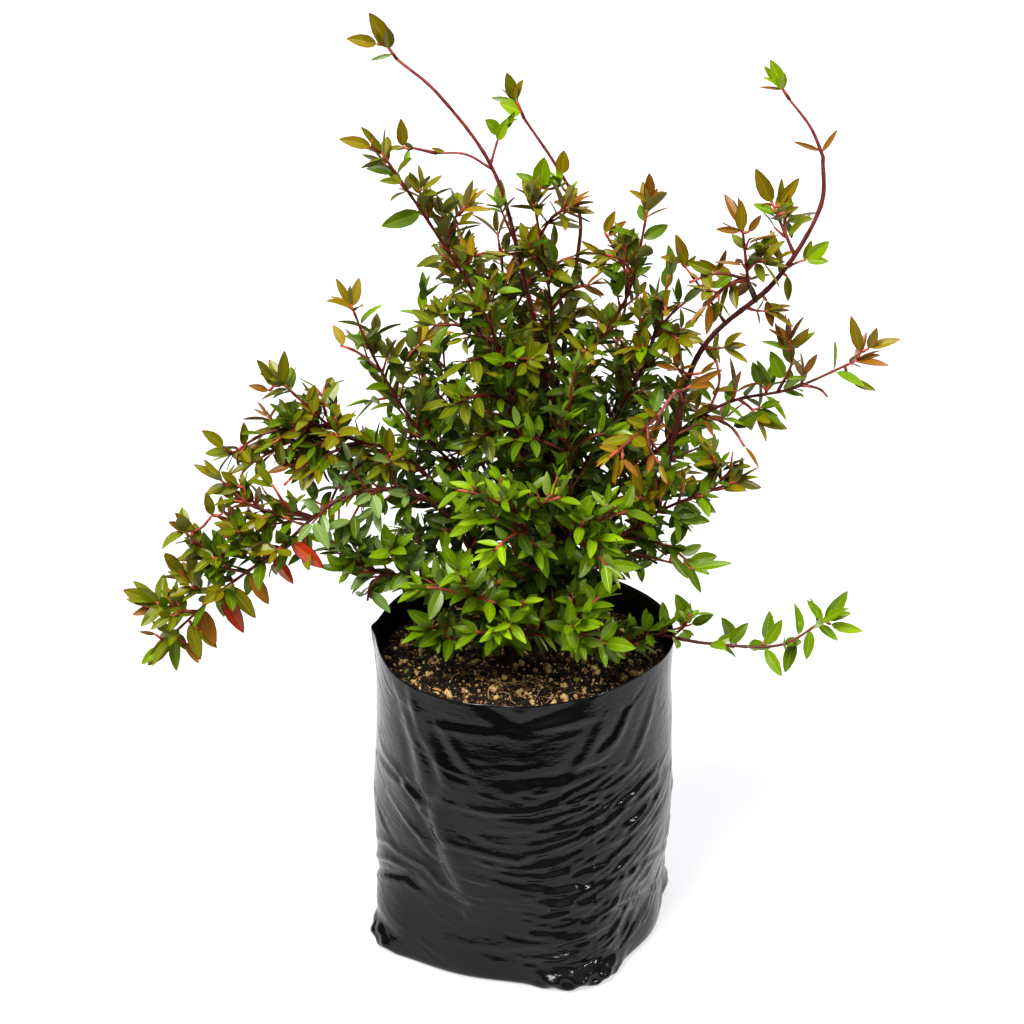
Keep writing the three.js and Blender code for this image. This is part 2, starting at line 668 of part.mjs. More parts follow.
// Leaves stand in opposite pairs, each pair turned a quarter from the last, and a tuft closes
// the twig.
function growTwig(grower, curve, radius, order) {
  const { random } = grower;
  const length = curve.getLength();
  const steps = Math.max(1, Math.round(length / twigStep));
  const taper = (u) => mix(radius, twig.tipRadius, u);
  grower.solids.push(toManifold(loft(tubeRings(curve, taper, 3, steps))));
  const start = random() * Math.PI;
  const nodes = Math.floor((length - twig.bare) / twig.internode);
  for (let n = 0; n < nodes; n += 1) {
    const u = (twig.bare + (n + 0.3) * twig.internode) / length;
    const point = curve.getPointAt(u);
    const forward = curve.getTangentAt(u);
    const side = crossways(forward, start + n * (Math.PI / 2) + 0.3 * (random() - 0.5));
    const forks = order < 2 && random() < twig.sideShare;
    for (const hand of [1, -1]) {
      const outward = side.clone().multiplyScalar(hand);
      const size = 0.85 + 0.3 * random();
      if (forks) {
        growSideTwig(grower, point, forward, outward, radius, order);
      } else {
        const spread = radians(leaf.spread + leaf.spreadRange * (random() - 0.5));
        const direction = forward.clone().multiplyScalar(Math.cos(spread))
          .addScaledVector(outward, Math.sin(spread));
        tryLeaf(grower, point, direction, leafFace(direction, forward), size);
      }
    }
  }
  const end = curve.getPointAt(1);
  const forward = curve.getTangentAt(1);
  const turn = random() * Math.PI;
  for (let i = 0; i < leaf.tuft; i += 1) {
    const outward = crossways(forward, turn + i * (Math.PI / 2));
    const spread = radians(i % 2 ? leaf.spread : leaf.tipSpread);
    const direction = forward.clone().multiplyScalar(Math.cos(spread))
      .addScaledVector(outward, Math.sin(spread));
    const root = end.clone().addScaledVector(forward, i % 2 ? -3 : -1);
    tryLeaf(grower, root, direction, leafFace(direction, forward), 0.8 + 0.2 * random());
  }
}

// Leaves turn their upper face to the light, or towards the twig's end where the twig is upright.
function leafFace(direction, forward) {
  return up.clone().multiplyScalar(0.8).addScaledVector(forward, 0.6)
    .addScaledVector(direction, -0.1).normalize();
}

function growSideTwig(grower, point, forward, outward, radius, order) {
  const length = twig.sideLength * (0.7 + 0.6 * grower.random());
  const heading = forward.clone().multiplyScalar(0.7).addScaledVector(outward, 0.75)
    .addScaledVector(up, twig.lift).normalize();
  const tip = point.clone().addScaledVector(heading, length).addScaledVector(up, 0.1 * length);
  const middle = point.clone().addScaledVector(heading, length * 0.5);
  const curve = smoothPath([point, middle, tip]);
  const check = [0.4, 0.6, 0.8, 1].map((u) => curve.getPointAt(u));
  if (allowed(check, grower.mass)) {
    growTwig(grower, curve, radius * twig.thinner, order + 2);
  }
}

function growMass(mass, m) {
  const grower = { mass: m, solids: [], leafPoints: [], random: seededRandom(101 + 17 * m) };
  spaces[m].forEach((shoot, i) => growTwig(grower, shoot.curve, shoot.radius, Math.min(i, 1)));
  const whole = Manifold.union(grower.solids).subtract(limbs.get(mass.on).grown);
  return largestPiece(whole);
}

// The assembly

const pottedAbelia = new THREE.Group();

function addPiece(name, geometry, finish) {
  const mesh = new THREE.Mesh(geometry, new THREE.MeshStandardMaterial(finish));
  mesh.name = name;
  pottedAbelia.add(mesh);
}

function leafFinish(name) {
  if (brightMasses.includes(name)) {
    return colours.leafBright;
  }
  return bronzeMasses.includes(name) ? colours.leafBronze : colours.leafDark;
}

addPiece('grow_bag', growBagGeometry(), colours.bag);
addPiece('potting_soil', soilGeometry(), colours.soil);
stems.forEach(({ name }) => addPiece(name, toGeometry(limbs.get(name).solid), colours.bark));
boughs.forEach(({ name }) => {
  addPiece(`bough_${name}`, toGeometry(limbs.get(name).solid), colours.shoot);
});
masses.forEach((mass, m) => {
  addPiece(`foliage_${mass.name}`, toGeometry(growMass(mass, m)), leafFinish(mass.name));
});

export default pottedAbelia;
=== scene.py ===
import math
import random

import bmesh
import bpy
import numpy as np
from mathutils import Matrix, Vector, kdtree


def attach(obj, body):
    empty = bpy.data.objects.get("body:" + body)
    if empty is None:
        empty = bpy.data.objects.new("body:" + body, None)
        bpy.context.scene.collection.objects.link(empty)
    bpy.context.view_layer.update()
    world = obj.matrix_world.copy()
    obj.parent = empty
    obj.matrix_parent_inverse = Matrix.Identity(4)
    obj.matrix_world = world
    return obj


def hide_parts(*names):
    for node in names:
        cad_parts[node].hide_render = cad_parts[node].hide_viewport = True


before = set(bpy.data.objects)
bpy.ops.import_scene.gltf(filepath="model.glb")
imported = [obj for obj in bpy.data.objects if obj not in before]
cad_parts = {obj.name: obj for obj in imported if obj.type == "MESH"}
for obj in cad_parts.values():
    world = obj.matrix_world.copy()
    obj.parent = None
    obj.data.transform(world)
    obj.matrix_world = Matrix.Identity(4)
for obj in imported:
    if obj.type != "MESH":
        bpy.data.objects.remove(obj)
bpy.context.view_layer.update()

MM = 0.001
BODY = "root"

# Sizes

BAG = {
    "height": 205, "rim_radius": 95, "base_half_side": 82, "base_corner": 38, "corner_angle": 23,
    "round_height": 110, "under_edge": 4.5, "flat_below": 1.6, "film": 0.5, "across": 480, "up": 180,
}
# The inner side of the film is fine near the rim and coarse where the soil covers it.
LINING = {"fine_above": 165, "every": 4, "levels": [150, 110, 65, 30, 8, 3], "inset": 3, "floor": 3}
# The small creases: their number, the share of them in the front, and where those are: round the
# bag, with their spread, and in height.
SMALL_FOLDS = {"count": 560, "front": 0.55, "middle": 496, "spread": 38, "heights": (14, 142)}
SOIL = {
    "foot": 186, "edge": 183, "ripple": 1.3, "gap": 2.6, "floor": 3.5, "wall": 4, "across": 200,
    "rings": 60, "side_levels": [0, 2, 7, 30, 65, 110],
}
GRAINS = 4200  # on the soil
ROOTS = 16  # of which those that start near the rim are left out
STEM_FLARE = {"extra": 0.9, "fade": 5}
LEAF = {
    "length": 21.5, "width": 0.4, "petiole": 0.06, "petiole_width": 0.05, "widest": 0.42,
    "fullness": 1.5, "thickness": 0.3, "sink": 0.4, "spread": (44, 72), "sizes": (0.68, 1.0),
    "shorter": 0.72, "teeth": 0.022, "quilt": 0.0035, "rib": 0.01,
}
# How much a leaf's face turns up, along its twig, out of the crown, more so low down, and at random.
FACING = {"up": 0.72, "along": 0.36, "out": 0.12, "out_low": 0.34, "loose": 0.5}
# young and pink are the lengths of a twig's redder end and of its pink tip, refork the share of the
# second order of twigs that fork, and no_leaf the share of the forks without a leaf.
TWIG = {
    "radius": 1.15, "tip_radius": 0.75, "step": 3.5, "sides": 6, "young": 28, "pink": 9,
    "refork": 0.3, "no_leaf": 0.25, "thinner": 0.72, "shortest": 4,
}
# By the order of a twig, from 0 for a mass's own stem to 3 for the finest: the gap between its
# pairs of leaves and its bare foot, and how short and how vigorous the twigs from its buds are.
ORDERS = {
    "gap": (11.5, 10.5, 8, 6.5), "bare": (6, 5, 4, 3), "shorter": (1, 0.72, 0.4, 0.4),
    "vigour": (0.86, 0.78, 0.6, 0.6),
}
SIDE_SHOOT = {"fork_back": 0.55, "first_fork": 4, "last_fork": 0.8, "bow": 0.14, "thinner": 0.85}
LIMB_SAMPLES = 40  # places along a shoot that stand for its mass's space
WOOD_SAMPLES = 60  # places along a limb that leaves keep clear of
NEAR_SAMPLES = 200  # places along a bough where a single twig may start
REACH = 36  # no leaf tip is further than this from its mass's own shoots
# Lengths of the twigs from a shoot's buds and how many of its buds grow, by the habit of the mass.
HABITS = {"dense": ((14, 32), 0.85), "open": ((10, 22), 0.72), "slim": ((5, 12), 0.5), "bud": ((4, 6), 0)}
# The pairs of leaves at a tip: the angle from the twig, the length, the distance below the tip and
# the width of each pair.
TUFTS = {
    "shoot": ((62, 0.85, 5.5, 1), (38, 1.0, 2.5, 0.95), (14, 0.8, 0.6, 0.8)),
    "twig": ((56, 1.0, 2.5, 1), (26, 0.85, 0.6, 0.85)),
    "bud": ((22, 0.6, 0.6, 0.7),),
}
CROWN_MIDDLE = 8  # leaves on this side of it turn to the front and the others to the back
SLIMMER = {"bronze": 0.78, "gold": 0.88, "lime": 0.88}  # young leaves are narrower
WARM_TINTS = ("bronze", "gold", "lime")  # twigs whose tips have these tints end in pink
# Shoots of the upper crown that stay in sight: their least height, their furthest depth, the width
# of the strip in front of them that leaves keep out of, the step along them, how far in front of
# them leaves count, and the share of such leaves that are left out.
IN_SIGHT = {"above": 115, "before": 16, "strip": 2.6, "step": 1.3, "slack": 2.5, "share": 0.8}
NO_SHOOT = -999  # the depth of a strip without such a shoot
# Where leaves may be near the pot: how far outside its rim they may hang down, how far inside it
# they begin, and how high above the ground, the rim and the soil. The soil shows in the front.
NEAR_POT = {"outside": 10, "inside": 8, "ground": 2, "rim": 3, "soil": 2, "front": 10, "front_left": 24}
SOIL_SHOWS = {"before": -30, "left_of": 4}

# The plant's tables. Heights are above the soil's level at the stems' foot.

STEMS = [
    ("main_stem", [(9, 12, -7), (12, 13, 34), (10, 12, 83)], (4.4, 2.6)),
    ("left_stem", [(-6, -4, -7), (-11, -6, 24), (-26, -10, 67)], (3.3, 1.9)),
]
BOUGHS = [
    ("right_sweep", "main_stem", 0.3, (3, 1.5),
     [(50, 0, 59), (84, -15, 131), (105, -20, 218), (150, -14, 263), (175, -8, 306), (176, -5, 338)]),
    ("right_sweep_upper", "right_sweep", 1, (1.4, 0.9), [(168, -5, 356), (155, -5, 373)]),
    ("right_sweep_side", "right_sweep", 0.735, (1.5, 1.2), [(133, -27, 265)]),
    ("left_tall", "main_stem", 0.97, (2.4, 1.1),
     [(15, 14, 169), (-4, 24, 269), (-20, 26, 322), (-50, 26, 365), (-75, 25, 388)]),
    ("left_tall_side", "left_tall", 0.73, (1, 0.8), [(-35, 22, 330), (-52, 18, 332)]),
    ("top_middle", "main_stem", 0.9, (2.2, 1),
     [(20, 28, 169), (32, 40, 249), (34, 42, 285), (21, 40, 314), (0, 36, 348)]),
    ("top_inner", "main_stem", 0.8, (2, 1.3), [(18, 6, 159), (18, 12, 192)]),
    ("mid_right", "main_stem", 0.62, (2.2, 1.4), [(50, 2, 104), (72, -4, 138)]),
    ("lower_right", "main_stem", 0.5, (2.1, 1.4), [(34, -10, 70), (50, -18, 88)]),
    ("low_right", "main_stem", 0.16, (1.9, 1.3), [(36, 2, 7), (57, -4, 9.5)]),
    ("low_left", "left_stem", 0.85, (2.4, 1.5),
     [(-45, -20, 109), (-75, -32, 133), (-105, -39, 134), (-125, -42, 123)]),
    ("left", "left_stem", 0.97, (2.2, 1.4), [(-42, -3, 109), (-60, -3, 130)]),
    ("left_upper", "main_stem", 0.72, (2, 1.3), [(-22, 12, 102), (-44, 9, 132)]),
    ("upper_left", "main_stem", 0.86, (2.2, 1.3), [(-3, 14, 159), (-12, 4, 206)]),
    ("inner_left", "main_stem", 0.92, (2, 1.3), [(5, -6, 125), (-1, -17, 152)]),
    ("upright_right", "main_stem", 0.83, (2, 1.4), [(16, -4, 138), (26, -10, 174)]),
    ("upper_right", "main_stem", 0.76, (2, 1.3), [(36, 8, 128), (54, 4, 160)]),
    ("front_right", "right_sweep", 0.52, (1.4, 1.1), [(91, -47, 206), (79, -60, 195)]),
    ("front", "left_stem", 0.75, (1.8, 1.3), [(-12, -28, 76), (0, -46, 96)]),
    ("back_left", "main_stem", 0.66, (2.2, 1.4), [(-14, 32, 96), (-28, 42, 122)]),
    ("back_right", "main_stem", 0.58, (2.2, 1.4), [(30, 30, 92), (42, 40, 116)]),
    ("back", "main_stem", 0.7, (2.1, 1.4), [(8, 32, 82), (7, 48, 104)]),
    ("back_top", "main_stem", 1, (2, 1.3), [(5, 24, 139), (0, 32, 172)]),
]

# Each mass: its limb and place on it, its stem, the tips of its side shoots, its habit, and its
# tints: those of the inner leaves, of the outer ones and of the tufts at the tips.
MASSES = [
    ("right_tip", "right_sweep_upper", 1, [(149, -5, 382)], [], "bud", "lime", "lime", "lime gold"),
    ("right_middle", "right_sweep_side", 1, [(128, -26, 304)],
     [(142, -36, 284), (108, -36, 256)], "slim", "moss mid", "olive moss", "gold bronze olive"),
    ("right_outer", "right_sweep", 0.83, [(147, 2, 308)], [(158, 12, 294)],
     "slim", "moss", "moss fresh", "gold olive"),
    ("left_tall_tip", "left_tall", 1, [(-82, 25, 398)], [], "bud", "olive", "olive gold", "gold olive"),
    ("left_tall_side", "left_tall_side", 1, [(-66, 13, 337)], [], "bud", "moss", "moss", "olive"),
    ("top_middle_tip", "top_middle", 1, [(-4, 35, 359)], [], "bud", "fresh", "olive lime", "olive gold"),
    ("top_inner", "top_inner", 1, [(16, 16, 240), (6, 18, 302)], [(30, 14, 268), (-10, 12, 270)],
     "open", "moss olive mid", "moss olive", "gold olive bronze"),
    ("mid_right", "mid_right", 1, [(103, -9, 169), (129, -8, 183), (164, -4, 189), (203, -2, 207)],
     [(160, -8, 223), (134, -26, 160), (186, 4, 180), (118, 14, 200)],
     "slim", "mid fresh", "fresh mid", "gold bronze olive"),
    ("lower_right", "lower_right", 1, [(84, -24, 116), (130, -30, 139)],
     [(114, -38, 160), (104, -16, 76), (70, -40, 134)],
     "open", "mid deep", "mid fresh", "fresh olive gold"),
    ("low_right", "low_right", 1, [(83, -12, 23), (115, -26, 25), (158, -40, 31), (186, -42, 50)],
     [(104, -18, 42)], "slim", "fresh mid", "fresh", "fresh lime"),
    ("low_left", "low_left", 1, [(-150, -46, 100), (-185, -50, 74), (-218, -50, 42)],
     [(-152, -42, 142), (-184, -42, 146), (-210, -46, 116), (-226, -52, 68)],
     "open", "mid", "moss mid olive", "olive moss bronze"),
    ("left", "left", 1, [(-80, -5, 148), (-112, -11, 162), (-146, -15, 197)],
     [(-178, -22, 153), (-122, 10, 184), (-112, -38, 172), (-94, 16, 138)],
     "open", "mid", "moss mid olive", "olive moss olive bronze"),
    ("left_upper", "left_upper", 1, [(-70, 4, 166), (-92, -4, 212), (-104, -6, 245)],
     [(-112, 18, 208), (-60, 14, 214)], "open", "mid", "mid fresh moss", "olive fresh gold"),
    ("upper_left", "upper_left", 1, [(-32, -4, 255), (-53, -7, 292), (-84, -8, 342)],
     [(-34, 6, 304), (-24, -22, 284)], "open", "moss olive mid", "moss olive", "gold olive"),
    ("inner_left", "inner_left", 1, [(-8, -24, 190), (-18, -29, 234), (-22, -30, 268)],
     [(-54, -32, 242), (-40, -54, 200), (6, -46, 226)], "dense", "deep mid", "mid moss", "olive fresh moss"),
    ("upright_right", "upright_right", 1, [(38, -14, 213), (62, -18, 256), (73, -18, 310)],
     [(46, -24, 284), (34, -50, 232), (58, 6, 268)], "open", "mid", "mid moss olive",
     "gold bronze olive"),
    ("upper_right", "upper_right", 1, [(74, -4, 208), (87, -16, 268)], [(98, 14, 238), (50, 18, 222)],
     "open", "mid", "mid moss", "olive gold fresh"),
    ("front_right", "front_right", 1, [(50, -88, 181)], [(80, -84, 175)],
     "bud", "bronze olive", "bronze gold", "gold olive"),
    ("front", "front", 1, [(2, -62, 122), (-10, -76, 150)],
     [(22, -80, 152), (-40, -66, 150), (-18, -84, 118)], "dense", "mid deep", "mid fresh", "fresh lime"),
    ("back_left", "back_left", 1, [(-44, 54, 150), (-64, 64, 214)],
     [(-96, 48, 158), (-58, 80, 138), (-88, 42, 110)], "dense", "deep mid", "mid", "fresh olive"),
    ("back_right", "back_right", 1, [(56, 52, 146), (76, 62, 210)],
     [(104, 42, 160), (70, 80, 140), (96, 48, 106)], "dense", "deep mid", "mid fresh", "olive gold"),
    ("back", "back", 1, [(5, 68, 134), (4, 90, 192)], [(-26, 90, 132), (34, 90, 134), (6, 96, 104)],
     "dense", "deep mid", "mid", "fresh lime"),
    ("back_top", "back_top", 1, [(-8, 44, 210), (-16, 50, 270)],
     [(22, 62, 246), (-46, 54, 246), (34, 52, 214), (-6, 74, 222)],
     "dense", "moss olive mid", "moss olive", "olive gold"),
    ("front_low_left", "left_stem", 0.72, [(-30, -54, 69), (-40, -80, 104)],
     [(-64, -64, 84), (-16, -78, 80)], "dense", "mid", "fresh mid", "lime fresh"),
    ("front_low_middle", "left_stem", 0.42, [(-10, -50, 45), (-8, -76, 66)],
     [(14, -56, 46), (-30, -58, 50)], "dense", "mid", "fresh mid", "lime fresh"),
    ("front_low_right", "main_stem", 0.38, [(20, -36, 43), (30, -66, 58)],
     [(52, -56, 40), (46, -50, 70)], "dense", "mid", "fresh mid", "lime fresh"),
    ("front_middle_right", "main_stem", 0.68, [(26, -44, 105), (36, -80, 136)],
     [(62, -62, 134), (50, -76, 104)], "dense", "mid deep", "fresh mid", "lime fresh"),
    ("left_skirt", "left_stem", 0.55, [(-44, -26, 40), (-60, -40, 42)], [(-44, -50, 40)],
     "open", "mid", "mid fresh", "fresh mid"),
    # This mass's pale leaves are a painted sheen from the light on the left.
    ("left_low", "left_stem", 0.66, [(-66, -30, 73), (-112, -38, 82)],
     [(-108, -22, 108), (-96, -44, 64), (-80, -50, 104)], "open", "mid pale", "pale mid", "pale fresh"),
    ("centre_front", "main_stem", 0.55, [(27, -10, 98), (28, -36, 146), (22, -60, 196)],
     [(-6, -56, 178), (50, -50, 180), (30, -62, 226)], "dense", "deep", "deep mid", "mid fresh"),
    ("back_low_left", "main_stem", 0.46, [(-44, 36, 51), (-66, 44, 62)], [(-40, 62, 68), (-72, 14, 72)],
     "dense", "mid", "mid fresh", "fresh"),
    ("back_low_right", "main_stem", 0.42, [(48, 36, 47), (72, 40, 60)], [(48, 66, 64), (84, 8, 64)],
     "dense", "mid", "mid fresh", "fresh"),
]
# Tips of more side shoots, which only the fine foliage has.
MORE_TIPS = {
    "left": [(-98, -26, 134), (-126, -28, 146), (-152, -26, 162), (-84, -32, 150), (-138, -16, 150),
             (-164, -20, 147), (-146, -30, 136), (-120, -30, 120)],
    "inner_left": [(-26, -48, 176), (8, -46, 182), (-34, -40, 222)],
    "top_inner": [(40, 8, 252), (28, 12, 300)],
    "right_middle": [(120, -22, 262), (98, -24, 266), (134, -18, 264)],
    "front": [(-30, -58, 128), (8, -68, 112)], "front_middle_right": [(46, -70, 118)],
    "upper_right": [(92, -30, 232), (66, -28, 224), (84, -34, 252)],
    "left_low": [(-118, -26, 96), (-70, -44, 84)],
    "low_left": [(-142, -34, 124), (-166, -34, 128), (-196, -44, 96), (-174, -42, 114), (-204, -46, 78),
                 (-214, -42, 56)],
    "lower_right": [(96, -20, 108), (82, -32, 130), (128, -30, 152)],
    "mid_right": [(128, -12, 192), (142, -14, 172)],
}
# The leafy stretch of each limb, as shares of its length, with the tints of its leaves. The others
# take "usual", and a limb with no stretch stays bare.
LEAFY = {
    "usual": (0.3, 1, "deep mid"), "main_stem": (0.4, 1, "deep"), "left_stem": (0.5, 1, "deep mid"),
    "right_sweep": (0.34, 0.5, "mid fresh"), "right_sweep_upper": None, "right_sweep_side": None,
    "left_tall": (0.05, 0.42, "moss mid"), "left_tall_side": None, "top_middle": (0.05, 0.44, "moss mid"),
    # The pale leaves of low_left are a painted sheen.
    "low_left": (0.2, 1, "mid pale"), "low_right": (0.55, 1, "mid fresh"), "front_right": None,
    "left": (0.2, 1, "mid deep"), "mid_right": (0.3, 1, "mid fresh"),
}
LEAFY_STEP = 9  # distance between pairs of buds on the leafy stretches
LEAFY_TWIG = (9, 23)  # shortest and longest twig there
# Small sprays on bare lengths of the boughs: the bough, a start near it, the tip and the tints.
SPRIGS = [
    ("left_tall", (0, 24, 274), (-14, 22, 296), "olive fresh"),
    ("top_middle", (32, 40, 291), (22, 36, 306), "lime fresh"),
    ("right_sweep", (132, -17, 246), (146, -20, 246), "gold olive"),
    ("right_sweep", (107, -20, 222), (120, -28, 226), "moss olive"),
    ("right_sweep", (101, -20, 200), (92, -32, 214), "bronze"),
    ("right_sweep", (158, -13, 270), (150, -20, 280), "olive gold"),
]
# The pairs of leaves on such a spray: the share of its length, the angle from it and the length.
SPRIG_PAIRS = ((0.45, 66, 0.55), (0.86, 58, 0.8), (0.95, 34, 0.92), (1, 14, 0.7))
# Short bare twigs that carry some of the single leaves: the bough, the start near it and the tip.
SPURS = [
    ("left_tall", (-20, 26, 322), (-14, 34, 340)), ("right_sweep", (158, -10, 268), (168, -10, 275)),
    ("low_right", (57, -4, 10), (106, -10, 30)), ("lower_right", (50, -18, 88), (105, -38, 83)),
    ("right_sweep", (122, -18, 237), (96, -14, 272)),
]
# Stalks for single leaves that are further than the shortest from every twig.
STALK = {"shortest": 3.6, "radius": 0.85, "step": 1.2, "sag": 0.12, "overlap": 0.8}
# Single leaves: root, tip, width as a share of the usual, and tint.
LONE_LEAVES = [
    # the tips of the tall shoots
    ((-82, 25, 392), (-90, 20, 418), 1.0, "gold"), ((-86, 25, 397), (-104, 20, 403), 1.0, "gold"),
    # The pale leaves on this line and two lines down are a painted sheen.
    ((-80, 25, 394), (-80, 16, 410), 1.0, "olive"), ((-79, 25, 390), (-91, 24, 388), 0.5, "pale"),
    ((-6, 38, 358), (-10, 36, 376), 1.1, "olive"), ((-5, 38, 358), (-1, 34, 372), 1.0, "gold"),
    ((-6, 36, 356), (-20, 42, 359), 0.6, "pale"), ((-4, 36, 351), (-14, 30, 360), 1.7, "lime"),
    ((-15, 34, 338), (-23, 30, 349), 1.6, "fresh"), ((-11, 30, 345), (-4, 22, 353), 0.7, "fresh"),
    ((10, 34, 304), (12, 28, 326), 1.2, "lime"), ((9, 34, 303), (-5, 30, 315), 0.9, "fresh"),
    ((10, 34, 303), (19, 30, 313), 1.0, "lime"), ((23, 36, 312), (24, 34, 328), 1.3, "gold"),
    ((150, -5, 377), (143, -7, 398), 0.9, "lime"), ((150, -5, 379), (140, -3, 393), 0.7, "fresh"),
    ((151, -5, 379), (151, -10, 391), 0.8, "lime"), ((150, -5, 378), (137, -5, 381), 0.4, "bronze"),
    ((175, -6, 341), (158, -10, 349), 0.4, "bronze"), ((176, -5, 341), (184, -3, 354), 0.5, "bronze"),
    ((-16, 30, 336), (-10, 26, 351), 0.9, "lime"), ((-14, 32, 343), (-5, 28, 354), 0.8, "fresh"),
    # upper left
    ((-72, 14, 337), (-72, 10, 356), 0.9, "gold"), ((-74, 14, 335), (-83, 10, 337), 0.8, "olive"),
    ((-67, 14, 334), (-71, 8, 327), 0.8, "fresh"), ((-46, 19, 332), (-55, 16, 336), 0.7, "olive"),
    ((-89, -8, 345), (-108, -12, 352), 0.9, "gold"), ((-89, -8, 349), (-95, -10, 358), 0.8, "olive"),
    ((-77, -8, 328), (-92, -14, 335), 0.9, "mid"), ((-63, -8, 303), (-84, -16, 298), 1.0, "mid"),
    # the left shoots
    ((-152, -15, 195), (-160, -20, 215), 1.0, "olive"), ((-146, -15, 198), (-144, -18, 219), 0.8, "olive"),
    ((-154, -15, 192), (-166, -20, 198), 0.8, "bronze"), ((-182, -22, 158), (-194, -26, 171), 1.0, "olive"),
    ((-171, -22, 158), (-169, -24, 175), 0.9, "olive"), ((-173, -42, 141), (-182, -46, 153), 1.0, "olive"),
    ((-172, -42, 138), (-189, -46, 138), 0.8, "moss"), ((-201, -44, 111), (-211, -46, 125), 0.9, "olive"),
    ((-202, -44, 114), (-215, -50, 121), 0.8, "bronze"), ((-210, -46, 87), (-218, -50, 100), 1.0, "olive"),
    ((-222, -50, 64), (-244, -54, 77), 1.0, "olive"), ((-223, -50, 63), (-240, -54, 60), 0.8, "bronze"),
    ((-189, -42, 121), (-192, -46, 138), 0.9, "olive"), ((-183, -42, 122), (-183, -46, 136), 0.9, "olive"),
    ((-200, -44, 112), (-210, -48, 125), 0.8, "olive"), ((-210, -46, 80), (-218, -50, 99), 1.0, "olive"),
    ((-202, -46, 83), (-202, -50, 103), 0.9, "olive"), ((-224, -50, 36), (-236, -54, 25), 0.9, "fresh"),
    ((-209, -50, 39), (-200, -54, 26), 0.9, "bronze"), ((-200, -50, 48), (-189, -54, 36), 0.9, "olive"),
    ((-226, -50, 44), (-236, -54, 48), 0.6, "bronze"),
    # the hanging leaves of the low left shoot
    ((-143, -47, 107), (-122, -52, 90), 0.95, "red"), ((-153, -47, 97), (-141, -52, 79), 0.85, "red"),
    ((-167, -48, 86), (-156, -52, 65), 0.85, "bronze"), ((-180, -49, 77), (-164, -54, 57), 0.9, "olive"),
    ((-183, -49, 74), (-172, -54, 46), 0.85, "red"), ((-196, -50, 62), (-190, -54, 37), 0.85, "bronze"),
    ((-206, -50, 52), (-200, -54, 27), 0.85, "olive"), ((-214, -50, 45), (-216, -54, 20), 0.75, "mid"),
    ((-218, -50, 42), (-232, -52, 22), 0.9, "olive"),
    # the right side
    ((73, -18, 315), (74, -22, 333), 1.0, "bronze"), ((72, -18, 314), (81, -24, 323), 0.8, "bronze"),
    ((72, -18, 314), (62, -24, 324), 0.8, "gold"), ((157, -12, 266), (158, -15, 250), 0.8, "olive"),
    ((145, -16, 252), (149, -19, 235), 0.8, "bronze"), ((167, -10, 276), (181, -14, 288), 1.2, "lime"),
    ((168, -10, 273), (181, -16, 276), 1.0, "fresh"), ((166, -10, 277), (171, -10, 287), 1.0, "olive"),
    ((204, -2, 212), (198, -6, 237), 0.7, "gold"), ((209, -2, 214), (213, -8, 230), 0.9, "gold"),
    ((212, -2, 216), (227, -6, 223), 0.8, "gold"), ((199, -2, 194), (214, -8, 189), 0.7, "olive"),
    ((148, 0, 307), (137, -4, 329), 0.9, "gold"), ((152, 0, 306), (162, -4, 324), 0.8, "gold"),
    ((150, 0, 309), (153, -2, 323), 0.6, "olive"), ((149, 0, 306), (141, -4, 308), 0.7, "bronze"),
    ((155, 0, 301), (163, -4, 306), 0.8, "olive"), ((127, -36, 302), (126, -38, 322), 0.9, "gold"),
    ((126, -36, 303), (112, -42, 307), 0.6, "bronze"), ((131, -36, 302), (138, -40, 314), 0.8, "bronze"),
    ((96, -14, 274), (91, -18, 294), 0.8, "gold"), ((94, -14, 275), (81, -20, 281), 0.8, "gold"),
    ((98, -14, 274), (102, -16, 280), 0.8, "olive"), ((115, -14, 269), (120, -18, 284), 0.7, "bronze"),
    ((114, -14, 271), (104, -18, 278), 0.8, "bronze"), ((157, -6, 215), (152, -10, 234), 0.5, "bronze"),
    ((160, -6, 216), (172, -10, 230), 0.9, "gold"), ((145, -6, 191), (139, -10, 209), 1.0, "mid"),
    ((48, 0, 288), (54, -4, 303), 0.9, "gold"), ((50, 0, 286), (61, -4, 297), 0.8, "bronze"),
    ((90, -36, 92), (101, -42, 78), 0.8, "mid"), ((99, -36, 88), (109, -42, 68), 0.6, "mid"),
    ((105, -38, 84), (127, -44, 91), 0.6, "fresh"),
    # the pinkish twig at the front right
    ((105, -40, 214), (113, -46, 224), 0.5, "bronze"), ((99, -42, 207), (117, -50, 221), 0.5, "bronze"),
    ((98, -42, 206), (112, -50, 211), 0.5, "bronze"), ((81, -56, 191), (70, -62, 202), 0.6, "gold"),
    ((75, -58, 185), (85, -64, 192), 0.5, "bronze"), ((69, -64, 181), (54, -70, 187), 0.7, "olive"),
    ((58, -80, 181), (44, -86, 188), 0.8, "gold"), ((55, -84, 181), (42, -90, 178), 0.8, "olive"),
    ((58, -84, 179), (52, -90, 165), 0.8, "gold"), ((60, -84, 179), (68, -90, 169), 0.7, "bronze"),
    # the low right shoot
    ((188, -42, 48), (199, -44, 70), 0.9, "fresh"), ((189, -42, 47), (209, -48, 45), 0.8, "lime"),
    ((178, -40, 43), (175, -46, 24), 0.9, "fresh"), ((169, -34, 32), (162, -42, 13), 0.9, "mid"),
    ((151, -26, 27), (154, -28, 48), 1.0, "fresh"), ((134, -18, 20), (124, -22, 41), 0.9, "mid"),
    ((183, -42, 51), (175, -40, 63), 0.9, "fresh"), ((105, -10, 30), (95, -14, 53), 1.0, "fresh"),
    ((105, -10, 32), (119, -14, 39), 0.9, "mid"),
]
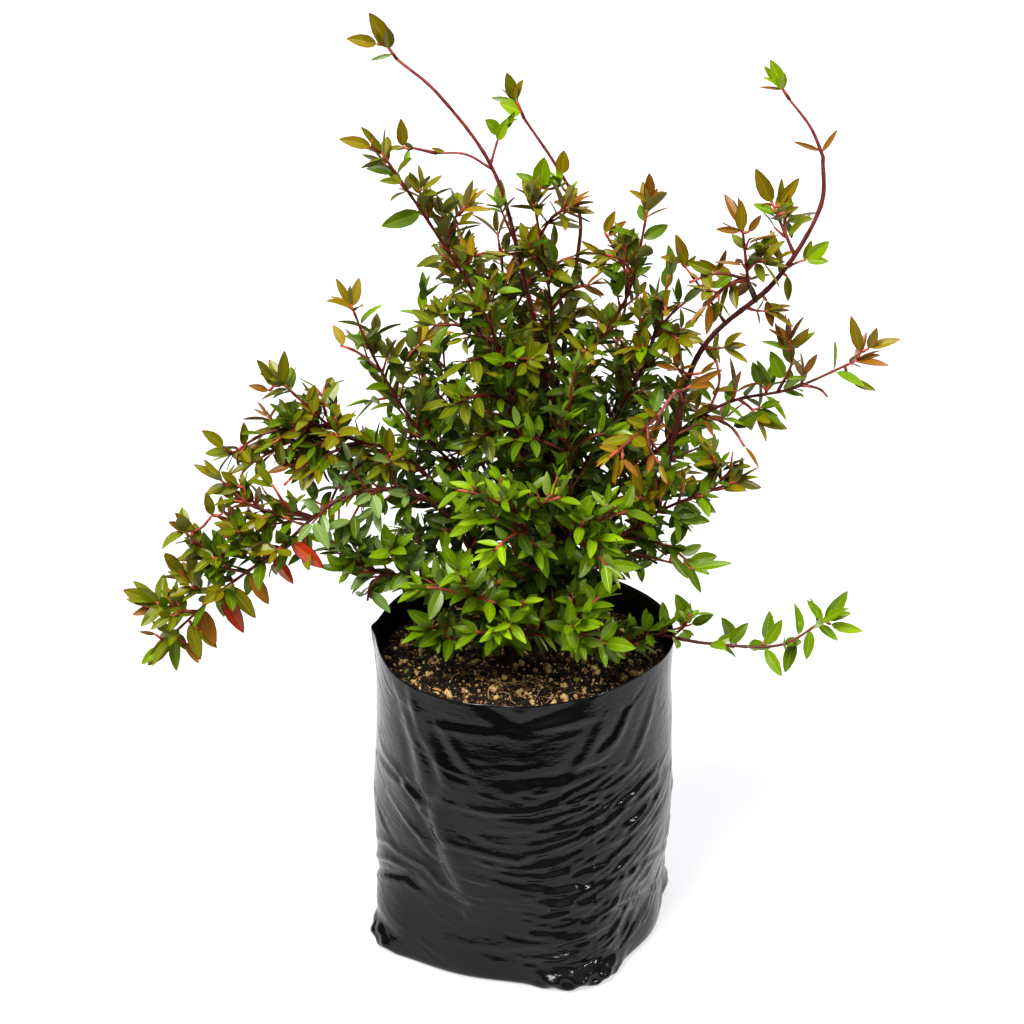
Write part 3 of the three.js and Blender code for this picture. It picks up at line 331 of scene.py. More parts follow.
# Round openings in the crown as seen from the front: across, height and radius, all at the depth of
# the bag's middle. Leaves keep out of the line of sight through them.
OPENINGS = [
    # right
    (92, 62, 11), (112, 50, 10), (116, 22, 8), (108, -2, 9), (145, -4, 10), (192, 0, 11),
    (132, 219, 12), (120, 196, 7), (184, 199, 10), (192, 180, 8), (130, 155, 9), (129, 113, 7),
    (188, 277, 9), (181, 176, 9), (141, 151, 7), (81, 62, 6), (100, 245, 6), (96, 44, 7),
    # top
    (118, 282, 10), (138, 296, 8), (140, 325, 10), (61, 311, 7), (44, 287, 8), (25, 279, 8),
    # left
    (-66, 284, 11), (-72, 306, 7), (-55, 357, 11), (-68, 248, 7), (-113, 208, 11), (-154, 122, 8),
    (-183, 161, 8), (-220, 94, 8), (-158, 51, 7), (-124, 54, 8), (-103, 34, 11),
    (-125, 198, 9), (-109, 185, 6), (-20, 285, 8), (-111, 103, 5), (-42, 211, 6),
]
CAMERA = {"place": (-7.08, -1794.5, 1148.3), "pitch": 25.573, "lens": 112.5}

# Colours as seen on screen, turned to linear light below. Each tint is that of the blade, the
# margin, the midrib, the underside and the blade's tip.
TINTS = {
    "deep": ("#3e5204", "#3e5204", "#5a6e20", "#5c6e34", "#3e5204"),
    "mid": ("#607a04", "#607a04", "#7c9226", "#7e9040", "#607a04"),
    "moss": ("#747c04", "#747c04", "#90962c", "#8a8c46", "#7c7408"),
    "fresh": ("#789804", "#789804", "#98ae2a", "#90a448", "#789804"),
    "lime": ("#98b80c", "#98b80c", "#b8cc3c", "#b0c454", "#a2b014"),
    # pale is a painted sheen: the grey-green that glossy leaves show where light glances off them.
    "pale": ("#7c964e", "#7c964e", "#9cae70", "#98aa78", "#7c964e"),
    "olive": ("#808006", "#8a3a12", "#98902e", "#8e8c46", "#84580c"),
    "gold": ("#968408", "#943c12", "#ae9430", "#a0924a", "#966014"),
    "bronze": ("#966616", "#86381a", "#a87630", "#9e7e52", "#8c4820"),
    "red": ("#b43a16", "#701e12", "#c06432", "#a8543c", "#a02218"),
}
BARK_SHADES = ("#33201a", "#45241c", "#582820", "#6c2e28", "#803634", "#9a4644", "#b45a50")
# How young each limb's bark is at its root and at its tip, from 0 to 1. Other limbs take "usual".
YOUTH = {
    "usual": (0.1, 0.5), "main_stem": (0, 0.15), "left_stem": (0, 0.2), "right_sweep": (0.15, 0.66),
    "right_sweep_upper": (0.75, 1), "left_tall": (0.3, 0.85), "left_tall_side": (0.75, 0.95),
    "top_middle": (0.3, 0.75), "low_left": (0.2, 0.45), "low_right": (0.2, 0.4), "front_right": (0.7, 0.8),
}
TWIG_COLOURS = {"older": "#64281a", "younger": "#8a3c28", "pink": "#cc5c46"}


def linear(code):
    """A colour on screen, such as #2c4a1c, as linear red, green, blue and alpha."""
    shares = [int(code[i:i + 2], 16) / 255 for i in (1, 3, 5)]
    return [((s + 0.055) / 1.055) ** 2.4 if s > 0.04045 else s / 12.92 for s in shares] + [1]


def smoothstep(x, low, high):
    t = np.clip((x - low) / (high - low), 0, 1)
    return t * t * (3 - 2 * t)


def hump(x, middle, width):
    """A soft bump of height 1 at the middle."""
    return np.exp(-((x - middle) / width) ** 2)


def unit(vector):
    return vector / np.linalg.norm(vector)


# Meshes

class Batch:
    """Points and faces with their material numbers, gathered into one mesh."""

    def __init__(self):
        self.points, self.faces, self.slots, self.count = [], [], [], 0

    def add(self, points, *parts):
        """Adds points and, in each part, faces between them with their material numbers."""
        for faces, slots in parts:
            self.faces.append(np.asarray(faces, np.int64) + self.count)
            self.slots.append(np.broadcast_to(np.asarray(slots), (len(faces),)))
        self.points.append(np.asarray(points, float))
        self.count += len(points)


def add_object(name, data):
    made = bpy.data.objects.new(name, data)
    bpy.context.scene.collection.objects.link(made)
    return made


def make_piece(name, batch, materials, slot, replaced):
    """One mesh of the object, which rides on its body and stands for the named CAD nodes."""
    mesh = bpy.data.meshes.new(name)
    points = np.concatenate(batch.points) * MM
    corners = np.concatenate([faces.ravel() for faces in batch.faces])
    widths = np.concatenate([np.full(len(faces), faces.shape[1]) for faces in batch.faces])
    mesh.vertices.add(len(points))
    mesh.vertices.foreach_set("co", points.astype(np.float32).ravel())
    mesh.loops.add(len(corners))
    mesh.loops.foreach_set("vertex_index", corners.astype(np.int32))
    mesh.polygons.add(len(widths))
    mesh.polygons.foreach_set("loop_start", (np.cumsum(widths) - widths).astype(np.int32))
    mesh.polygons.foreach_set("material_index", np.concatenate(batch.slots).astype(np.int32))
    mesh.update(calc_edges=True)
    mesh.shade_smooth()
    for material in materials:
        mesh.materials.append(material)
    piece = add_object(name, mesh)
    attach(piece, BODY)
    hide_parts(*replaced)


def ring_faces(rings, sides, closed=True):
    """Four-sided faces between rings of equal count, each following the last."""
    r, s = np.meshgrid(np.arange(rings - 1), np.arange(sides if closed else sides - 1), indexing="ij")
    a = (r * sides + s).ravel()
    b = (r * sides + (s + 1) % sides).ravel()
    return np.stack([a, b, b + sides, a + sides], 1)


def closed_rings(rings, low, high):
    """The points of a stack of rings with a middle at each end, its walls and its two ends."""
    count, sides = rings.shape[:2]
    around = np.arange(sides)
    after = (around + 1) % sides
    last = (count - 1) * sides
    under = np.stack([np.full(sides, count * sides), after, around], 1)
    lid = np.stack([np.full(sides, count * sides + 1), last + around, last + after], 1)
    points = np.concatenate([rings.reshape(-1, 3), [low, high]])
    return points, ring_faces(count, sides), np.concatenate([under, lid])


# Materials

def principled(name, colour, roughness, **values):
    material = bpy.data.materials.new(name)
    material.use_nodes = True
    shader = material.node_tree.nodes["Principled BSDF"]
    shader.inputs["Base Color"].default_value = colour
    shader.inputs["Roughness"].default_value = roughness
    for key, value in values.items():
        shader.inputs[key.replace("_", " ")].default_value = value
    return material, shader


def add_noise(material, scale, detail, stretch=(1, 1, 1)):
    nodes, links = material.node_tree.nodes, material.node_tree.links
    place = nodes.new("ShaderNodeTexCoord")
    mapping = nodes.new("ShaderNodeMapping")
    mapping.inputs["Scale"].default_value = stretch
    noise = nodes.new("ShaderNodeTexNoise")
    noise.inputs["Scale"].default_value = scale
    noise.inputs["Detail"].default_value = detail
    links.new(place.outputs["Object"], mapping.inputs["Vector"])
    links.new(mapping.outputs["Vector"], noise.inputs["Vector"])
    return noise


def add_bump(material, shader, source, height, strength=1.0):
    """Relief of the given height in millimetres."""
    bump = material.node_tree.nodes.new("ShaderNodeBump")
    bump.inputs["Distance"].default_value = height * MM
    bump.inputs["Strength"].default_value = strength
    material.node_tree.links.new(source, bump.inputs["Height"])
    material.node_tree.links.new(bump.outputs["Normal"], shader.inputs["Normal"])


def add_colours(material, shader, source, stops):
    """The base colour runs through the stops, each a place and a colour, as the source rises."""
    ramp = material.node_tree.nodes.new("ShaderNodeValToRGB")
    elements = ramp.color_ramp.elements
    while len(elements) < len(stops):
        elements.new(0.5)
    for element, (place, colour) in zip(elements, stops):
        element.position = place
        element.color = colour
    material.node_tree.links.new(source, ramp.inputs["Fac"])
    material.node_tree.links.new(ramp.outputs["Color"], shader.inputs["Base Color"])


def textured(name, colour, roughness, noise, height, strength=1.0, stops=(), **values):
    """A material with relief from a noise, of scale, detail and stretch, that also runs its colour
    through the stops where there are any."""
    material, shader = principled(name, colour, roughness, **values)
    source = add_noise(material, *noise).outputs["Fac"]
    if stops:
        add_colours(material, shader, source, stops)
    add_bump(material, shader, source, height, strength)
    return material


def leaf_materials(tint):
    """Blade, margin, midrib, underside and tip of one tint."""
    made = []
    for part, code in zip(("blade", "margin", "midrib", "underside", "tip"), TINTS[tint]):
        roughness = 0.6 if part == "underside" else 0.31
        made.append(textured(f"leaf_{tint}_{part}", linear(code), roughness, (900, 2), 0.12, 0.6,
                             Specular_IOR_Level=0.36))
    return made


def twig_material(name, code):
    return textured(name, linear(code), 0.45, (1400, 3), 0.1, 0.6)


def bark_material(name, code):
    dark, light = ([share * value for value in linear(code)[:3]] + [1] for share in (0.72, 1.3))
    return textured(name, linear(code), 0.5, (500, 4, (1, 1, 0.25)), 0.2,
                    stops=[(0.35, dark), (0.65, light)])


def film_material():
    """Black polythene film: satin, with fine crumples and dusty patches, which also paint a grey sheen."""
    material, shader = principled("black_film", (0.006, 0.006, 0.0065, 1), 0.15, Specular_IOR_Level=0.36)
    # Lighter patches at random, from near black to dark grey: partly dusty film, partly a painted grey
    # sheen.
    dust_and_sheen = add_noise(material, 16, 5)
    stops = [(0.35, (0.002, 0.002, 0.0022, 1)), (0.7, (0.008, 0.0082, 0.0088, 1))]
    add_colours(material, shader, dust_and_sheen.outputs["Fac"], stops)
    crumple = add_noise(material, 130, 4, (1, 1, 2.4))
    add_bump(material, shader, crumple.outputs["Fac"], 0.8, 0.6)
    return material


def soil_material():
    stops = [(0.38, (0.004, 0.002, 0.001, 1)), (0.54, (0.018, 0.009, 0.004, 1)),
             (0.68, (0.08, 0.045, 0.02, 1))]
    return textured("potting_mix", (0.02, 0.012, 0.007, 1), 0.95, (320, 6), 1.6, stops=stops)


def grain_material(name, dark, light):
    stops = [(0.35, linear(dark)), (0.65, linear(light))]
    return textured(name, linear(light), 0.85, (700, 4), 0.4, stops=stops)


# Curves

class Path:
    """A smooth line through points, known by the distance along it."""

    def __init__(self, points, fine=12):
        points = [np.array(p, float) for p in points]
        knots = [2 * points[0] - points[1], *points, 2 * points[-1] - points[-2]]
        dense = []
        for a, b, c, d in zip(knots, knots[1:], knots[2:], knots[3:]):
            for t in np.arange(fine) / fine:
                dense.append(0.5 * (2 * b + (c - a) * t + (2 * a - 5 * b + 4 * c - d) * t * t
                                    + (3 * b - a - 3 * c + d) * t ** 3))
        dense.append(points[-1])
        self.points = np.array(dense)
        steps = np.linalg.norm(np.diff(self.points, axis=0), axis=1)
        self.along = np.concatenate([[0], np.cumsum(steps)])
        self.length = self.along[-1]

    def at(self, distance):
        columns = [np.interp(distance, self.along, self.points[:, k]) for k in range(3)]
        return np.stack(columns, -1)

    def forward(self, distance):
        reach = 0.01 * self.length
        before, after = max(distance - reach, 0), min(distance + reach, self.length)
        return unit(self.at(after) - self.at(before))

    def spaced(self, count):
        return self.at(np.linspace(0, self.length, count + 1))

    def every(self, step):
        return self.at(np.arange(0, self.length, step))


def plant_points(points):
    """Places with heights above the soil's level, moved to the object's frame."""
    return [np.array((x, y, SOIL["foot"] + height)) for x, y, height in points]


def taper(root, tip, share=1):
    """The radius, thinning evenly from root to tip, at a share of the length."""
    return lambda u: share * (root + (tip - root) * u)


def tube(path, radius_at, sides, step, relief=None):
    """A limb's points, walls and closed ends, and its number of steps. relief gives a share of the
    radius at each distance along and angle round the limb."""
    steps = max(3, int(round(path.length / step)))
    distances = np.linspace(0, path.length, steps + 1)
    centres = path.at(distances)
    forwards = np.gradient(centres, axis=0)
    forwards /= np.linalg.norm(forwards, axis=1, keepdims=True)
    first = np.cross(forwards[0], (0, 0, 1) if abs(forwards[0][2]) < 0.9 else (1, 0, 0))
    sideways = [unit(first)]
    for forward in forwards[1:]:
        last = sideways[-1]
        sideways.append(unit(last - forward * (last @ forward)))
    sideways = np.array(sideways)
    others = np.cross(forwards, sideways)
    angles = 2 * np.pi * np.arange(sides) / sides
    radii = np.array([radius_at(d / path.length) for d in distances])[:, None]
    if relief:
        radii = radii * (1 + relief(distances[:, None], angles[None, :]))
    radii = np.broadcast_to(radii, (steps + 1, sides))[..., None]
    rings = centres[:, None] + radii * (np.cos(angles)[None, :, None] * sideways[:, None]
                                        + np.sin(angles)[None, :, None] * others[:, None])
    return *closed_rings(rings, centres[0], centres[-1]), steps


# Noise that is the same each time

def noise_table(seed):
    return np.random.default_rng(seed).uniform(-1, 1, (64, 64))


def smooth_noise(table, x, y, period_x=64):
    """Smooth values between -1 and 1 over a plane, which repeat after period_x along x."""
    x0, y0 = np.floor(x).astype(int), np.floor(y).astype(int)
    fx, fy = x - x0, y - y0
    fx, fy = fx * fx * (3 - 2 * fx), fy * fy * (3 - 2 * fy)
    xa, xb = x0 % period_x, (x0 + 1) % period_x
    ya, yb = y0 % 64, (y0 + 1) % 64
    low = table[xa, ya] * (1 - fx) + table[xb, ya] * fx
    high = table[xa, yb] * (1 - fx) + table[xb, yb] * fx
    return low * (1 - fy) + high * fy


# Grow bag

def square_radius(angles):
    """Distance from the middle to the edge of a square with rounded corners."""
    quarter = np.pi / 2
    a = np.abs((angles - math.radians(BAG["corner_angle"])) % quarter - quarter / 2)
    inner = BAG["base_half_side"] - BAG["base_corner"]
    flat = BAG["base_half_side"] / np.cos(a)
    along = inner * (np.cos(a) + np.sin(a))
    rounded = along + np.sqrt(np.maximum(0, BAG["base_corner"] ** 2 - 2 * inner ** 2 + along ** 2))
    return np.where(flat * np.sin(a) <= inner, flat, rounded)


def bag_radius(angles, z):
    roundness = smoothstep(z, 0, BAG["round_height"])
    below = np.maximum(0, BAG["under_edge"] - z)
    inset = BAG["under_edge"] - np.sqrt(BAG["under_edge"] ** 2 - below ** 2)
    return square_radius(angles) * (1 - roundness) + BAG["rim_radius"] * roundness - inset


def add_fold(relief, s, z, line, depth, width):
    """Adds a crease along a line of (distance round the bag, height) points: a lip beside a valley."""
    spare = 3 * width
    near = ((s > min(p[0] for p in line) - spare) & (s < max(p[0] for p in line) + spare)
            & (z > min(p[1] for p in line) - spare) & (z < max(p[1] for p in line) + spare))
    sn, zn = s[near], z[near]
    nearest = np.full_like(sn, 1e9)
    signed, along = np.zeros_like(sn), np.zeros_like(sn)
    for i, ((s0, z0), (s1, z1)) in enumerate(zip(line, line[1:])):
        ds, dz = s1 - s0, z1 - z0
        length = math.hypot(ds, dz)
        t = np.clip(((sn - s0) * ds + (zn - z0) * dz) / length ** 2, 0, 1)
        away = np.hypot(sn - s0 - t * ds, zn - z0 - t * dz)
        side = ((sn - s0) * -dz + (zn - z0) * ds) / length
        closer = away < nearest
        nearest = np.where(closer, away, nearest)
        signed = np.where(closer, np.sign(side) * away, signed)
        along = np.where(closer, (i + t) / (len(line) - 1), along)
    x = signed / width
    ends = np.sin(np.pi * np.clip(along, 0.02, 0.98)) ** 0.5
    relief[near] += depth * (x + 0.35) * np.exp(-x * x) * ends


FRONT_SAG = 446  # distance round the bag to the lowest part of its hanging wrinkles


def sagging(s):
    """Slope of the film's wrinkles: they hang like ropes between the two sides of the bag's front."""
    return 0.42 * math.tanh((s - FRONT_SAG) / 50)


AROUND = 2 * math.pi * BAG["rim_radius"]
NAMED_DEPTH = 1.2  # times the depths in the table below
# Creases that show in the photo, each a line of distances round the bag from its right side and
# heights, with its depth and width.
NAMED_FOLDS = [
    ([(416, 206), (444, 187), (491, 203)], -2.0, 6),
    ([(444, 187), (405, 186), (388, 185)], 1.5, 4),
    ([(444, 187), (470, 188), (498, 188)], 1.3, 4),
    ([(391, 185), (402, 168), (416, 150)], 1.2, 5),
    ([(498, 186), (486, 166), (470, 146)], 1.3, 5),
    ([(342, 197), (378, 185), (390, 160), (395, 141), (388, 114), (392, 84), (408, 55)], 1.5, 7),
    ([(366, 204), (376, 175), (397, 145)], 1.6, 5),
    ([(318, 136), (352, 134), (374, 119), (384, 106)], 1.7, 4),
    ([(318, 127), (363, 129), (390, 123)], -1.3, 3.5),
    ([(314, 64), (340, 74), (377, 73), (388, 62), (412, 56)], 1.9, 3.6),
    ([(298, 32), (336, 50), (360, 58), (380, 52)], -2.2, 3.2),
    ([(308, 46), (340, 62), (362, 66)], 1.6, 3),
    ([(396, 129), (427, 127), (453, 128), (479, 132), (506, 127)], 1.6, 3),
    ([(390, 102), (415, 96), (444, 92), (471, 101), (504, 113), (553, 121)], 1.7, 3.6),
    ([(410, 81), (442, 75), (479, 72), (505, 70), (550, 65), (598, 52)], -1.5, 3.2),
    ([(430, 62), (462, 60), (491, 57), (520, 48), (590, 20)], 1.5, 3.2),
    ([(568, 136), (531, 130), (504, 112), (484, 106)], 1.6, 3.4),
    ([(553, 134), (518, 121), (489, 112)], -1.4, 3),
    ([(520, 190), (508, 172), (492, 162)], 1.6, 4),
    ([(545, 186), (528, 160), (516, 146)], 1.2, 4),
    ([(396, 23), (437, 26), (479, 35), (506, 38)], 1.1, 3.5),
    ([(606, 26), (530, 44), (493, 50), (470, 54)], -1.3, 3),
    ([(340, 110), (372, 96), (386, 84)], 1.1, 3.5),
    ([(359, 184), (371, 164), (381, 132)], 2.6, 9),
    ([(381, 125), (396, 94), (405, 52)], 3, 10),
    ([(434, 149), (470, 151), (497, 152)], -1.8, 5),
]
# The film's seam, a faint upright line: its distance round the bag, and its lowest and highest part.
SEAM = (494, 14, 150)


def small_folds():
    """Small creases: in the front mostly hanging wrinkles, elsewhere of any slope."""
    rng = random.Random(11)
    folds = []
    for _ in range(SMALL_FOLDS["count"]):
        front = rng.random() < SMALL_FOLDS["front"]
        if front:
            s = rng.gauss(SMALL_FOLDS["middle"], SMALL_FOLDS["spread"])
            z = rng.uniform(*SMALL_FOLDS["heights"])
        else:
            s = rng.uniform(0, AROUND)
            z = 8 + 182 * rng.random() ** 1.2
        half = rng.uniform(4, 14)
        slope = sagging(s) if 280 < s < 600 else rng.uniform(-0.3, 0.3)
        slope += rng.uniform(-0.1, 0.1)
        hang = 0.08 * half
        line = [(s - half, z - slope * half + hang), (s, z), (s + half, z + slope * half + hang)]
        calm = 0.35 if z < 60 and 300 < s < 430 else 1 if front else 0.7
        depth = calm * rng.choice([1, -1]) * rng.uniform(0.4, 1.3)
        folds.append((line, depth, rng.uniform(1.4, 2.8)))
    return folds


def film_relief(angles, z):
    """How far the wrinkled film stands out from the bag's plain shape."""
    s = (angles % (2 * np.pi)) * BAG["rim_radius"]
    turns = s / AROUND
    slack = np.sin(np.pi * np.clip(z / BAG["height"], 0, 1)) ** 0.6
    relief = 2.0 * smooth_noise(noise_table(3), turns * 12, z / 48, 12) * slack
    folds = [(line, NAMED_DEPTH * depth, width) for line, depth, width in NAMED_FOLDS]
    for line, depth, width in folds + small_folds():
        add_fold(relief, s, z, line, depth, width)
    fine = smooth_noise(noise_table(7), turns * 42, z / 3.6 + 0.1 * np.sin(turns * 60), 42)
    below_rim = smoothstep(BAG["height"] - z, 12, 50)
    relief += 0.24 * fine * slack * below_rim * hump(s, 492, 62)
    seam, low, high = SEAM
    upright = smoothstep(z, low, low + 10)
    relief += 0.5 * hump(s, seam, 0.9) * upright * smoothstep(high - z, 0, 30)
    return relief + ears(angles, z, s) + bulges(angles, z)


def bulges(angles, z):
    """The soft sides: they belly out at the front left and right, and the left one is drawn in above."""
    degrees = np.degrees(angles) % 360
    belly = 9.5 * hump(degrees, 243, 30) * hump(z, 4, 34)
    right = 4 * hump(degrees, 355, 22) * hump(z, 54, 30)
    right += 8.5 * hump(degrees, 338, 24) * hump(z, 6, 20)
    drawn = -2.4 * hump(degrees, 192, 26) * smoothstep(z, 70, 150)
    drawn = drawn + 1.6 * hump(degrees, 186, 16) * hump(z, 62, 40)
    return belly + right + drawn


# The tucked corners at the foot: the place in degrees, half the width and the depth of each.
EARS = ((203, 20, 4.2), (293, 30, 5.4), (23, 20, 3), (113, 20, 3))


def ears(angles, z, s):
    """The film is gathered into small shiny pleats in each corner, with a throat above them."""
    total = np.zeros_like(s)
    for corner, size, depth in EARS:
        away = (np.degrees(angles) - corner + 180) % 360 - 180
        distance = away * math.radians(1) * BAG["rim_radius"]
        inside = np.exp(-(distance / size) ** 4)
        cover = inside * hump(z, 5, 7.5)
        pleats = np.abs(np.sin(distance / 5.2 + 0.35 * z)) + 0.6 * np.sin(distance / 2.9 - 0.5 * z)
        total = total + depth * cover * (0.55 + 0.35 * pleats)
        throat = inside * hump(z, 16, 4.5)
        total = total - 0.45 * depth * throat
    return total


# How the rim rises and dips round the bag, as degrees and millimetres.
RIM_WAVE = [(0, -1.5), (18, 1), (40, 0), (95, 1.5), (150, 0.5), (164, -1.5), (177, 3.4), (190, 0),
            (216, -3.4), (254, -2), (291, 0), (322, 3.4), (346, 1), (360, -1.5)]


def rim_height(angles):
    degrees = np.degrees(angles) % 360
    places, rises = zip(*RIM_WAVE)
    near = [np.interp((degrees + shift) % 360, places, rises) for shift in (-4, 0, 4)]
    return sum(near) / len(near)


def ring_points(radius, angles, height):
    return np.stack([radius * np.cos(angles), radius * np.sin(angles), height], -1)


def bag_points(angles, z, inset, relief):
    radius = bag_radius(angles, z) + relief - inset
    degrees = np.degrees(angles) % 360
    flare = smoothstep(z, 175, BAG["height"])
    radius = radius + flare * (0.8 * np.sin(2 * angles + 1) + 2.6 * hump(degrees, 178, 4))
    height = z + rim_height(angles) * smoothstep(z, 150, BAG["height"])
    return ring_points(radius, angles, height)


def make_bag():
    angles = 2 * np.pi * np.arange(BAG["across"]) / BAG["across"]
    foot = BAG["under_edge"] * (1 - np.cos(np.linspace(0, np.pi / 2, 6)[:-1]))
    heights = np.concatenate([foot, np.linspace(BAG["under_edge"], BAG["height"], BAG["up"])])
    a, z = np.meshgrid(angles, heights)
    relief = film_relief(a, z) * smoothstep(z, 0, BAG["flat_below"])
    outside = bag_points(a, z, 0, relief)
    down = range(len(heights) - 1, 0, -LINING["every"])
    rows = [i for i in down if heights[i] > LINING["fine_above"]]
    inside = bag_points(a[rows], z[rows], BAG["film"], relief[rows])
    a, z = np.meshgrid(angles, LINING["levels"])
    lining = bag_points(a, z, LINING["inset"], np.zeros_like(a))
    rings = np.concatenate([outside, inside, lining])
    points, walls, ends = closed_rings(rings, (0, 0, 0), (0, 0, LINING["floor"]))
    batch = Batch()
    batch.add(points, (walls, 0), (ends, 0))
    make_piece("grow_bag_film", batch, [film_material()], "bag", ["grow_bag"])


# Soil

def soil_height(x, y):
    radius = np.hypot(x, y) / BAG["rim_radius"]
    rough = np.interp(radius, [0, 0.45, 0.75, 1], [0, 0, 0.7, 1])
    angle = np.arctan2(y, x)
    coarse = smooth_noise(noise_table(21), x / 13 + 30, y / 13 + 30)
    fine = smooth_noise(noise_table(22), x / 4 + 30, y / 4 + 30)
    level = SOIL["foot"] - (SOIL["foot"] - SOIL["edge"]) * rough ** 2
    return level + rough * SOIL["ripple"] * np.sin(3 * angle) + 1.3 * coarse + 0.7 * fine


def height_at(x, y):
    return float(soil_height(np.array(x), np.array(y)))


def make_soil():
    angles = 2 * np.pi * np.arange(SOIL["across"]) / SOIL["across"]
    rings = []
    for level in SOIL["side_levels"]:
        radius = bag_radius(angles, level) + np.minimum(0, bulges(angles, level)) - SOIL["wall"]
        rings.append(ring_points(radius, angles, np.full_like(angles, level + SOIL["floor"])))
    for share in np.linspace(1, 0.01, SOIL["rings"]):
        radius = share * (BAG["rim_radius"] - SOIL["gap"] + bulges(angles, SOIL["foot"]))
        height = soil_height(radius * np.cos(angles), radius * np.sin(angles))
        rings.append(ring_points(radius, angles, height))
    points, walls, ends = closed_rings(np.array(rings), (0, 0, SOIL["floor"]), rings[-1].mean(0))
    batch = Batch()
    batch.add(points, (walls, 0), (ends, 0))
    make_piece("soil_body", batch, [soil_material()], "soil", ["potting_soil"])


# The share of the grains, their dark and light colour, their smallest and largest radius, and how
# far they are drawn out into chips.
GRAIN_KINDS = [
    ("grain_peat", 0.24, "#140c06", "#33200f", 0.7, 2.6, 1),
    ("grain_brown", 0.14, "#4c3018", "#80592f", 0.6, 2.0, 1),
    ("grain_tan", 0.34, "#a67c44", "#f0cf90", 0.45, 1.5, 1),
    ("grain_yellow", 0.1, "#b09048", "#ecd898", 0.5, 1.7, 1),
    ("grain_chip", 0.16, "#9c6a30", "#e0ac62", 0.4, 0.9, 4.5),
    ("grain_moss", 0.02, "#5c6a22", "#8a9636", 0.8, 1.8, 1),
]
PUMICE = (2, 3)  # the kinds that have some large grains
FINER_FROM = 1.5  # grains above this radius get the finer lump


def lump_shapes():
    """A coarse and a finer ball of flat faces."""
    shapes = []
    for fineness in (1, 2):
        shape = bmesh.new()
        bmesh.ops.create_icosphere(shape, subdivisions=fineness, radius=1)
        corners = np.array([v.co[:] for v in shape.verts])
        shapes.append((corners, np.array([[v.index for v in f.verts] for f in shape.faces])))
        shape.free()
    return shapes


def grain_turn(rng, chip):
    """How a grain is turned: any way, or nearly flat for a chip."""
    turn = np.linalg.qr(rng.normal(size=(3, 3)))[0]
    if not chip:
        return turn
    spin = rng.random() * 2 * math.pi
    return np.array([[math.cos(spin), -math.sin(spin), 0], [math.sin(spin), math.cos(spin), 0],
                     [0.15 * rng.normal(), 0.15 * rng.normal(), 1]])


def make_grains():
    """Crumbs of peat, bark and pumice on the soil, as rough lumps of a few faces."""
    lumps = lump_shapes()
    rng = np.random.default_rng(5)
    batch = Batch()
    for kind, (_, share, _, _, least, most, drawn) in enumerate(GRAIN_KINDS):
        for _ in range(int(GRAINS * share)):
            angle = rng.random() * 2 * math.pi
            edge = BAG["rim_radius"] - 6 + float(bulges(np.array(angle), SOIL["foot"]))
            radius = edge * math.sqrt(rng.random())
            x, y = radius * math.cos(angle), radius * math.sin(angle)
            size = least + (most - least) * rng.random() ** 3
            if kind in PUMICE and rng.random() < 0.06:
                size = rng.uniform(1.6, 2.8)
            stretch = rng.uniform(0.6, 1.25, 3) * size * (rng.uniform(1, drawn), 1, 1)
            turn = grain_turn(rng, drawn > 1)
            base, faces = lumps[size > FINER_FROM]
            rough = 1 + 0.32 * rng.uniform(-1, 1, (len(base), 1))
            z = height_at(x, y) + 0.35 * size
            batch.add((base * rough * stretch) @ turn.T + (x, y, z), (faces, kind))
    materials = [grain_material(name, dark, light) for name, _, dark, light, *_ in GRAIN_KINDS]
    make_piece("soil_grains", batch, materials, "soil", ["potting_soil"])


def make_roots():
    """A few thin pale roots that show on the soil."""
    rng = random.Random(8)
    batch = Batch()
    for _ in range(ROOTS):
        x, y = rng.uniform(-72, 40), rng.uniform(-74, -30)
        heading = rng.uniform(0, 2 * math.pi)
        points = []
        for step in range(6):
            if math.hypot(x, y) > BAG["rim_radius"] - 8:
                break
            lift = 0.7 + (1.2 if 0 < step < 5 else -1.2)
            points.append((x, y, height_at(x, y) + lift))
            heading += rng.uniform(-0.7, 0.7)
            x += 6 * math.cos(heading)
            y += 6 * math.sin(heading)
        if len(points) < 3:
            continue
        thick = rng.uniform(0.22, 0.5)
        made, walls, ends, _ = tube(Path(points), lambda u: thick * (1 - 0.6 * u), 5, 2)
        batch.add(made, (walls, 0), (ends, 0))
    skin = grain_material("root_skin", "#8c6a48", "#c7a983")
    make_piece("soil_roots", batch, [skin], "soil", ["potting_soil"])


# Stems and boughs

SLENDER = 0.8  # the boughs are slimmer than their stand-ins among the solids
limbs = {}


def stem_radius(path, root, tip):
    """A stem's radius at a share of its length, with the flare at the soil."""
    even = taper(root, tip)

    def radius_at(u):
        above = max(0, path.at(u * path.length)[2] - SOIL["foot"])
        return even(u) * (1 + STEM_FLARE["extra"] * math.exp(-above / STEM_FLARE["fade"]))
    return radius_at


def grow_limbs():
    for name, points, radii in STEMS:
        path = Path(plant_points(points), 30)
        limbs[name] = (path, stem_radius(path, *radii), name)
    for name, parent, place, radii, points in BOUGHS:
        trunk = limbs[parent][0]
        path = Path([trunk.at(place * trunk.length), *plant_points(points)], 30)
        limbs[name] = (path, taper(*radii, SLENDER), f"bough_{name}")


def bark_relief(seed):
    """Long ridges, small pores and a swelling at each pair of old leaf scars."""
    table = noise_table(seed)
    spacing = 17 + seed % 5

    def relief(distance, angle):
        turns = angle / (2 * np.pi)
        ridges = 0.09 * smooth_noise(table, turns * 9, distance / 11 + seed, 9)
        pores = 0.06 * smooth_noise(table, turns * 14, distance / 2.2 + seed, 14)
        scar = (distance + 5) % spacing - spacing / 2
        return ridges + pores + 0.13 * hump(scar, 0, 1.3)
    return relief


